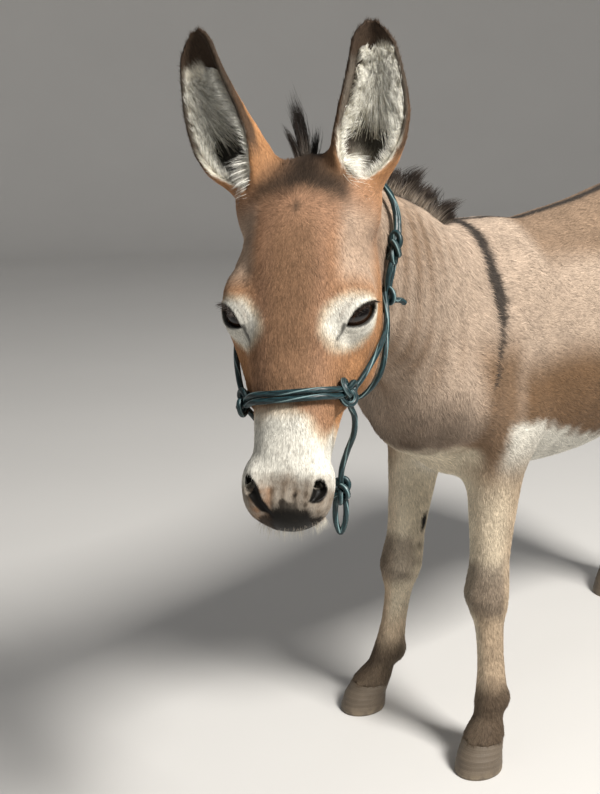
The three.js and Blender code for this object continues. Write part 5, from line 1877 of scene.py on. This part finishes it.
def build_forelock(finish):
    """An upright tuft from a narrow foot on the poll, that parts into three points."""
    rng = np.random.default_rng(32)
    start = SKULL.point(LOCK_ROOT)
    root, ahead, bend, length = [], [], [], []
    for tip, bow, wide, n in LOCKS:
        base = start + SKULL.direction(rng.normal(0, 1, (n, 3)) * (2.5, 3, 2.5))
        aim = SKULL.point(tip) + SKULL.direction(rng.normal(0, 1, (n, 3)) * wide) - base
        bowed = SKULL.direction(bow) / 60 * rng.uniform(0.4, 1.5, (n, 1))
        root.append(base)
        ahead.append(unit(aim) + bowed)
        bend.append(-bowed)
        length.append(np.linalg.norm(aim, axis=1) * rng.uniform(0.5, 1.0, n) ** 0.5)
    n = 340
    base = SKULL.point(rng.normal(0, 1, (n, 3)) * (8, 8, 3) + (8, -4, -22))
    lean = SKULL.direction(np.stack([-np.ones(n), rng.normal(0, 0.35, n), rng.normal(0.2, 0.2, n)], 1))
    root.append(base)
    ahead.append(unit(lean))
    bend.append(np.tile((0, 0, -0.15), (n, 1)))
    length.append(rng.uniform(7, 17, n))
    strands("forelock_hair", np.concatenate(root), np.concatenate(ahead), np.concatenate(bend),
            np.concatenate(length), 0.5, rng, finish, ("forelock",), seed=4, rings=4)


def build_switch(finish):
    """The tail's long hair, from its lower third down, swelling and then drawn in to a point."""
    rng = np.random.default_rng(33)
    n = 1700
    z = rng.uniform(470, 585, n)
    turning = rng.uniform(0, AROUND, n)
    middle_y = np.interp(z, (470, 585), (787, 784))
    radius = np.interp(z, (470, 585), (7, 13))
    out = np.stack([np.cos(turning), np.sin(turning), 0 * z], 1)
    root = np.stack([0 * z, middle_y, z], 1) + out * radius[:, None]
    tip_z = 330 + 90 * rng.random(n) ** 2
    length = z - tip_z
    swell = 16 * rng.uniform(0.4, 1, n) / length
    ahead = np.array((0, 0, -1.0)) + out * (2.2 * swell)[:, None]
    bend = -out * (2.6 * swell + 2 / length)[:, None]
    strands("tail_switch_hair", root, ahead, bend, length, 0.9, rng, finish, ("tail_switch",),
            clumps(turning + 0.2 * rng.random(n), 0.35), 0.25, 5, 4)


def ear_strands(name, side, t, angle, lean, length, radius, rng, finish, seed, gathering=0.3):
    """Hair from an ear's inner wall. lean is its direction for each strand: along the ear, into the
    hollow, to the front and across to the outer side."""
    leaf = EAR_LEAVES[side]
    n = len(t)
    inward = leaf.place.direction(np.stack([-np.sin(angle), -np.cos(angle), 0 * t], 1))
    outer, front, along = leaf.place.axes * np.array([[ear_outward(side)], [1], [1]])
    lean = np.broadcast_to(lean, (n, 4)) + rng.normal(0, 0.2, (n, 4))
    ahead = lean[:, :1] * along + lean[:, 1:2] * inward + lean[:, 2:3] * front + lean[:, 3:] * outer
    bend = 0.2 * front + 0.12 * inward - 0.1 * along
    root = leaf.inner(t, angle) - 0.8 * inward
    gather = clumps(t + 2 * np.round(angle, 1) + 0.01 * rng.random(n), 0.035)
    strands(name, root, unit(ahead), bend + np.zeros((n, 3)), length, radius, rng, finish,
            gather=gather, gathering=gathering, seed=seed)


def ear_gap(t):
    return np.radians(np.interp(t, Ear.rows[:, 0], Ear.rows[:, 2]))


def build_ear_hair(finish):
    """Hair inside each ear: short on the upper wall, thin over the dark hollow, long along both edges, and
    a fan of long white hair that sweeps outwards from the inner side of the ear's foot."""
    for side, name in SIDE_NAMES.items():
        rng = np.random.default_rng(34 + side)
        outer = ear_outward(side)
        n = 2800
        t = 0.03 + (0.79 + 0.04 * side) * rng.random(n) ** 1.1
        flank = np.where(rng.random(n) < 0.5, 1, -1)
        indent = 0.06 + 0.66 * (flank != outer) * smooth(0.36, 0.62, t)
        angle = flank * np.minimum(ear_gap(t) + indent + 0.75 * rng.random(n) ** 1.5, np.pi)
        ear_strands(f"ear_edge_hair_{name}", side, t, angle, (0.8, 0.35, 0.3, 0),
                    rng.uniform(11, 25, n) * (1.1 - 0.65 * t), 0.36, rng, finish, 6)
        n = 2900
        t = 0.26 + (0.53 + 0.05 * side) * rng.random(n) ** 0.6
        angle = np.pi + (np.pi - ear_gap(t) - 0.3) * rng.uniform(-1, 1, n)
        ear_strands(f"ear_wall_hair_{name}", side, t, angle, (0.9, 0.75, 0.3, 0),
                    rng.uniform(14, 30, n) * (1.25 - 0.8 * t), 0.38, rng, finish, 7)
        n = 1500
        t = -0.12 + 0.3 * rng.random(n)
        angle = -outer * (ear_gap(t) + (0.05 + 1.6 * rng.random(n)))
        lean = np.stack([-0.15 + 2.4 * (t + 0.02), 0.2 + 0 * t, 0.5 + 0 * t, 0.7 + 0 * t], 1)
        ear_strands(f"ear_fan_{name}", side, t, angle, lean, rng.uniform(24, 46, n),
                    0.42, rng, finish, 8, 0.4)


def build_lashes(finish):
    """Lashes along each upper lid, longest near the outer corner."""
    for side, name in SIDE_NAMES.items():
        rng = np.random.default_rng(50 + side)
        n = 70
        eye = EYES[side]
        x = rng.uniform(-14, 23, n)
        y = EYE["upper"] * (1 - (x / EYE["half"]) ** 2)
        depth = EYE["radii"][2] + 3.5 - 9 * (x / EYE["half"]) ** 2
        root = eye.point(np.stack([x, y + 0.8, depth], 1))
        ahead = np.stack([0.1 + x / 60, 0.15 + 0 * x, np.ones(n)], 1) + rng.normal(0, 0.12, (n, 3))
        ahead = eye.direction(ahead)
        bend = eye.direction(np.tile((0.1, -0.45, 0.0), (n, 1)))
        strands(f"lashes_{name}", root, unit(ahead), bend, rng.uniform(8, 15, n), 0.35, rng, finish, seed=7)


def build_feelers(finish):
    """Pale bristles along the lips and chin, and a few on the muzzle."""
    rng = np.random.default_rng(60)
    n = 240
    v = rng.uniform(-30, 42, n)
    start = SKULL.point(np.stack([np.full(n, 424.0), v * 0.8, np.full(n, -52.0)], 1))
    out = unit(SKULL.direction(np.stack([np.ones(n), v / 70, rng.uniform(-1.3, 0.35, n)], 1)))
    root = first_crossing(PARTS["head"], start, out, -0.5, 90)
    ahead = unit(out + rng.normal(0, 0.28, (n, 3)) + (0.15, -0.1, -0.25))
    length = rng.uniform(5, 15, n)
    strands("lip_bristles", root, ahead, np.tile((0, 0, -0.35), (n, 1)), length, 0.16, rng, finish, seed=8)


# ---------------------------------------------------------------- stage

FOCAL, SENSOR = 53.955, 36.0
CAMERA_AT = (1118.8, -1670.0, 1117.0)
AZIMUTH, PITCH = 42.0, 14.0


def build_camera():
    """A camera that looks round AZIMUTH to the animal's left of its front, and down by PITCH."""
    data = bpy.data.cameras.new("camera")
    data.lens, data.sensor_width = FOCAL, SENSOR
    camera = bpy.data.objects.new("camera", data)
    camera.location = to_frame(CAMERA_AT)
    camera.rotation_euler = np.radians((90 - PITCH, 0, AZIMUTH))
    bpy.context.scene.collection.objects.link(camera)
    bpy.context.scene.camera = camera


def build_floor(finish):
    """A floor that rises into a round backdrop: a profile of radius and height turned about the middle."""
    flat, rise, wall, columns = 7.0, 2.5, 9.0, 72
    bend = np.linspace(0, np.pi / 2, 14)
    curve = np.stack([flat + rise * np.sin(bend), rise * (1 - np.cos(bend))], 1)
    profile = np.concatenate([[(0.4, 0), (flat, 0)], curve, [(flat + rise, wall)]])
    turning = round_turns(columns)
    points = np.stack([profile[:, :1] * np.cos(turning), profile[:, :1] * np.sin(turning),
                       profile[:, 1:] + 0 * turning], -1).reshape(-1, 3)
    points = np.concatenate([points, [(0, 0, 0)]])
    j = np.arange(columns)
    lid = np.stack([(j + 1) % columns, np.full(columns, len(points) - 1), j], 1)
    make_piece("floor", points, [grid_faces(len(profile), columns), lid], material=finish, stage=True)


def area_light(name, direction, distance, size, power, colour):
    """A square light that faces the animal's chest from a direction."""
    data = bpy.data.lights.new(name, "AREA")
    data.size, data.energy, data.color = size, power, colour
    light = bpy.data.objects.new(name, data)
    light.location = to_frame((0, -200, 700)) + unit(direction) * distance
    z = unit(direction)
    x = unit(np.cross((0, 0, 1.0), z))
    axes = np.eye(4)
    axes[:3, :3] = np.stack([x, np.cross(z, x), z], 1)
    axes[:3, 3] = light.location
    light.matrix_world = axes.T
    bpy.context.scene.collection.objects.link(light)


def build_lights(key, fill, sky):
    """A main light from the camera's right, a soft one from its left, one from behind, and an even sky."""
    a = np.radians(AZIMUTH)
    right, nearer = np.array([np.cos(a), np.sin(a), 0]), np.array([np.sin(a), -np.cos(a), 0])
    up = np.array([0, 0, 1.0])
    area_light("key", 0.62 * right + 0.62 * nearer + 0.95 * up, 4.6, 1.3, key, (1.0, 0.97, 0.92))
    area_light("fill", -0.9 * right + 0.8 * nearer + 0.6 * up, 5.0, 3.5, fill, (0.94, 0.97, 1.0))
    area_light("rim", -0.5 * nearer + 0.5 * right + 0.9 * up, 5.0, 2.5, fill * 1.5, (1.0, 0.98, 0.95))
    world = bpy.data.worlds.new("studio")
    world.use_nodes = True
    background = world.node_tree.nodes["Background"]
    background.inputs["Color"].default_value = (0.92, 0.95, 1.0, 1)
    background.inputs["Strength"].default_value = sky
    bpy.context.scene.world = world


# ---------------------------------------------------------------- add-on

def tone(name, description, colour):
    return FloatVectorProperty(name=name, description=description, subtype="COLOR", size=3, min=0, max=1,
                               default=colour)


class CoatTones(bpy.types.PropertyGroup):
    # fawn also paints the highlight on the temples
    fawn: tone("Fawn", "Upper neck, shoulder and barrel", (0.42, 0.325, 0.25))
    # brown low on the barrel also stands for painted shade
    brown: tone("Brown", "Lower barrel, neck and the bridge of the nose", (0.16, 0.092, 0.047))
    rust: tone("Rust", "Cheeks and the backs of the ears", (0.40, 0.20, 0.09))
    forehead: tone("Forehead", "Brow and upper face", (0.31, 0.175, 0.105))
    leg: tone("Leg", "Outside of the legs", (0.60, 0.475, 0.34))
    grey: tone("Grey", "Fronts of the knees", (0.15, 0.12, 0.095))
    ear: tone("Ear", "Insides of the ears", (0.88, 0.83, 0.70))
    # cream also paints the highlight down the front of each forearm
    cream: tone("Cream", "Insides of the legs", (0.68, 0.60, 0.46))
    white: tone("White", "Muzzle, eye rings and belly", (0.71, 0.685, 0.61))
    # dark also paints the shade on the breast and, with skin, the shadow on the poll
    dark: tone("Dark", "Ear tips, breast and pasterns", (0.05, 0.033, 0.022))
    stripe: tone("Stripe", "Shoulder cross and the line down the back", (0.032, 0.027, 0.024))
    nose: tone("Nose", "Grey of the nose", (0.175, 0.122, 0.080))
    # skin also paints the nostrils black inside as painted shade, and part of the shadow on the poll
    skin: tone("Skin", "Lips, nostrils and the rims of the lids", (0.007, 0.006, 0.005))

    def table(self):
        return {key: np.array(getattr(self, key)) for key in self.__annotations__}


class HairTones(bpy.types.PropertyGroup):
    mane_root: tone("Mane roots", "Mane and forelock at the skin", (0.44, 0.37, 0.30))
    mane_tip: tone("Mane tips", "Mane and forelock at the tips", (0.03, 0.021, 0.016))
    ear_root: tone("Ear hair roots", "Hair inside the ears at the skin", (0.82, 0.77, 0.64))
    ear_tip: tone("Ear hair tips", "Hair inside the ears at the tips", (0.95, 0.93, 0.85))
    tail_root: tone("Tail roots", "The switch at the skin", (0.12, 0.085, 0.06))
    tail_tip: tone("Tail tips", "The switch at its end", (0.03, 0.022, 0.018))


class GearTones(bpy.types.PropertyGroup):
    iris: tone("Iris", "Brown of the eyes", (0.035, 0.016, 0.008))
    horn: tone("Horn", "The hooves' walls", (0.11, 0.085, 0.06))
    cord: tone("Cord", "The halter's rope", (0.012, 0.036, 0.042))
    # the pale lines along the cord: partly flecks, partly painted highlight
    fleck: tone("Fleck", "The halter's tracer strands", (0.26, 0.38, 0.39))


class StageLook(bpy.types.PropertyGroup):
    floor: tone("Floor", "Floor and backdrop", (0.60, 0.59, 0.575))
    key: FloatProperty(name="Key light", description="Power of the main light", default=430, min=0,
                       unit="POWER")
    fill: FloatProperty(name="Fill light", description="Power of the soft light on the shaded side",
                        default=18, min=0, unit="POWER")
    sky: FloatProperty(name="Sky", description="Strength of the even light from all round", default=0.16,
                       min=0)


class DONKEY_OT_skin(bpy.types.Operator):
    """Builds the one skin of the body and the short coat that lies on it"""
    bl_idname = "donkey.skin"
    bl_label = "Skin and coat"

    def execute(self, context):
        finish = coat_finish()
        build_skin(context.scene.donkey_coat.table(), finish)
        build_coat(finish)
        return {"FINISHED"}


class DONKEY_OT_hair(bpy.types.Operator):
    """Builds the mane, forelock, tail switch, ear hair, lashes and feelers"""
    bl_idname = "donkey.hair"
    bl_label = "Long hair"

    def execute(self, context):
        tones = context.scene.donkey_hair
        mane = hair_finish("mane", tones.mane_root, tones.mane_tip)
        build_mane(mane)
        build_forelock(mane)
        build_switch(hair_finish("tail", tones.tail_root, tones.tail_tip))
        build_ear_hair(hair_finish("ear_hair", tones.ear_root, tones.ear_tip, 0.6))
        build_lashes(hair_finish("lash", tones.mane_tip, tones.mane_tip, 0.4))
        build_feelers(hair_finish("bristle", tones.mane_root, tones.ear_root, 0.5))
        return {"FINISHED"}


class DONKEY_OT_eyes(bpy.types.Operator):
    """Builds both eyes"""
    bl_idname = "donkey.eyes"
    bl_label = "Eyes"

    def execute(self, context):
        build_eyes(eye_finish(context.scene.donkey_gear.iris))
        return {"FINISHED"}


class DONKEY_OT_hooves(bpy.types.Operator):
    """Builds the four hooves"""
    bl_idname = "donkey.hooves"
    bl_label = "Hooves"

    def execute(self, context):
        build_hooves(hoof_finish(context.scene.donkey_gear.horn))
        return {"FINISHED"}


class DONKEY_OT_halter(bpy.types.Operator):
    """Builds the rope halter with its knots"""
    bl_idname = "donkey.halter"
    bl_label = "Halter"

    def execute(self, context):
        gear = context.scene.donkey_gear
        build_halter(rope_finish(gear.cord, gear.fleck))
        return {"FINISHED"}


class DONKEY_OT_stage(bpy.types.Operator):
    """Builds the camera, floor, backdrop and lights"""
    bl_idname = "donkey.stage"
    bl_label = "Stage"

    def execute(self, context):
        look = context.scene.donkey_stage
        context.scene.view_settings.view_transform = "Standard"
        build_camera()
        build_floor(stage_finish("stage", look.floor))
        build_lights(look.key, look.fill, look.sky)
        return {"FINISHED"}


OPERATORS = (DONKEY_OT_skin, DONKEY_OT_hair, DONKEY_OT_eyes, DONKEY_OT_hooves, DONKEY_OT_halter,
             DONKEY_OT_stage)
GROUPS = {"donkey_coat": CoatTones, "donkey_hair": HairTones, "donkey_gear": GearTones,
          "donkey_stage": StageLook}


class DONKEY_PT_panel(bpy.types.Panel):
    bl_label = "Donkey"
    bl_idname = "DONKEY_PT_panel"
    bl_space_type = "VIEW_3D"
    bl_region_type = "UI"
    bl_category = "Donkey"

    def draw(self, context):
        for key, group in GROUPS.items():
            box = self.layout.box()
            for name in group.__annotations__:
                box.prop(getattr(context.scene, key), name)
        for operator in OPERATORS:
            self.layout.operator(operator.bl_idname)


def register():
    for group in GROUPS.values():
        bpy.utils.register_class(group)
    for key, group in GROUPS.items():
        setattr(bpy.types.Scene, key, PointerProperty(type=group))
    for operator in OPERATORS:
        bpy.utils.register_class(operator)
    bpy.utils.register_class(DONKEY_PT_panel)


def unregister():
    bpy.utils.unregister_class(DONKEY_PT_panel)
    for operator in reversed(OPERATORS):
        bpy.utils.unregister_class(operator)
    for key in GROUPS:
        delattr(bpy.types.Scene, key)
    for group in GROUPS.values():
        bpy.utils.unregister_class(group)


def main():
    register()
    bpy.ops.donkey.stage()
    bpy.ops.donkey.skin()
    bpy.ops.donkey.hair()
    bpy.ops.donkey.eyes()
    bpy.ops.donkey.hooves()
    bpy.ops.donkey.halter()


if __name__ == "__main__":
    main()
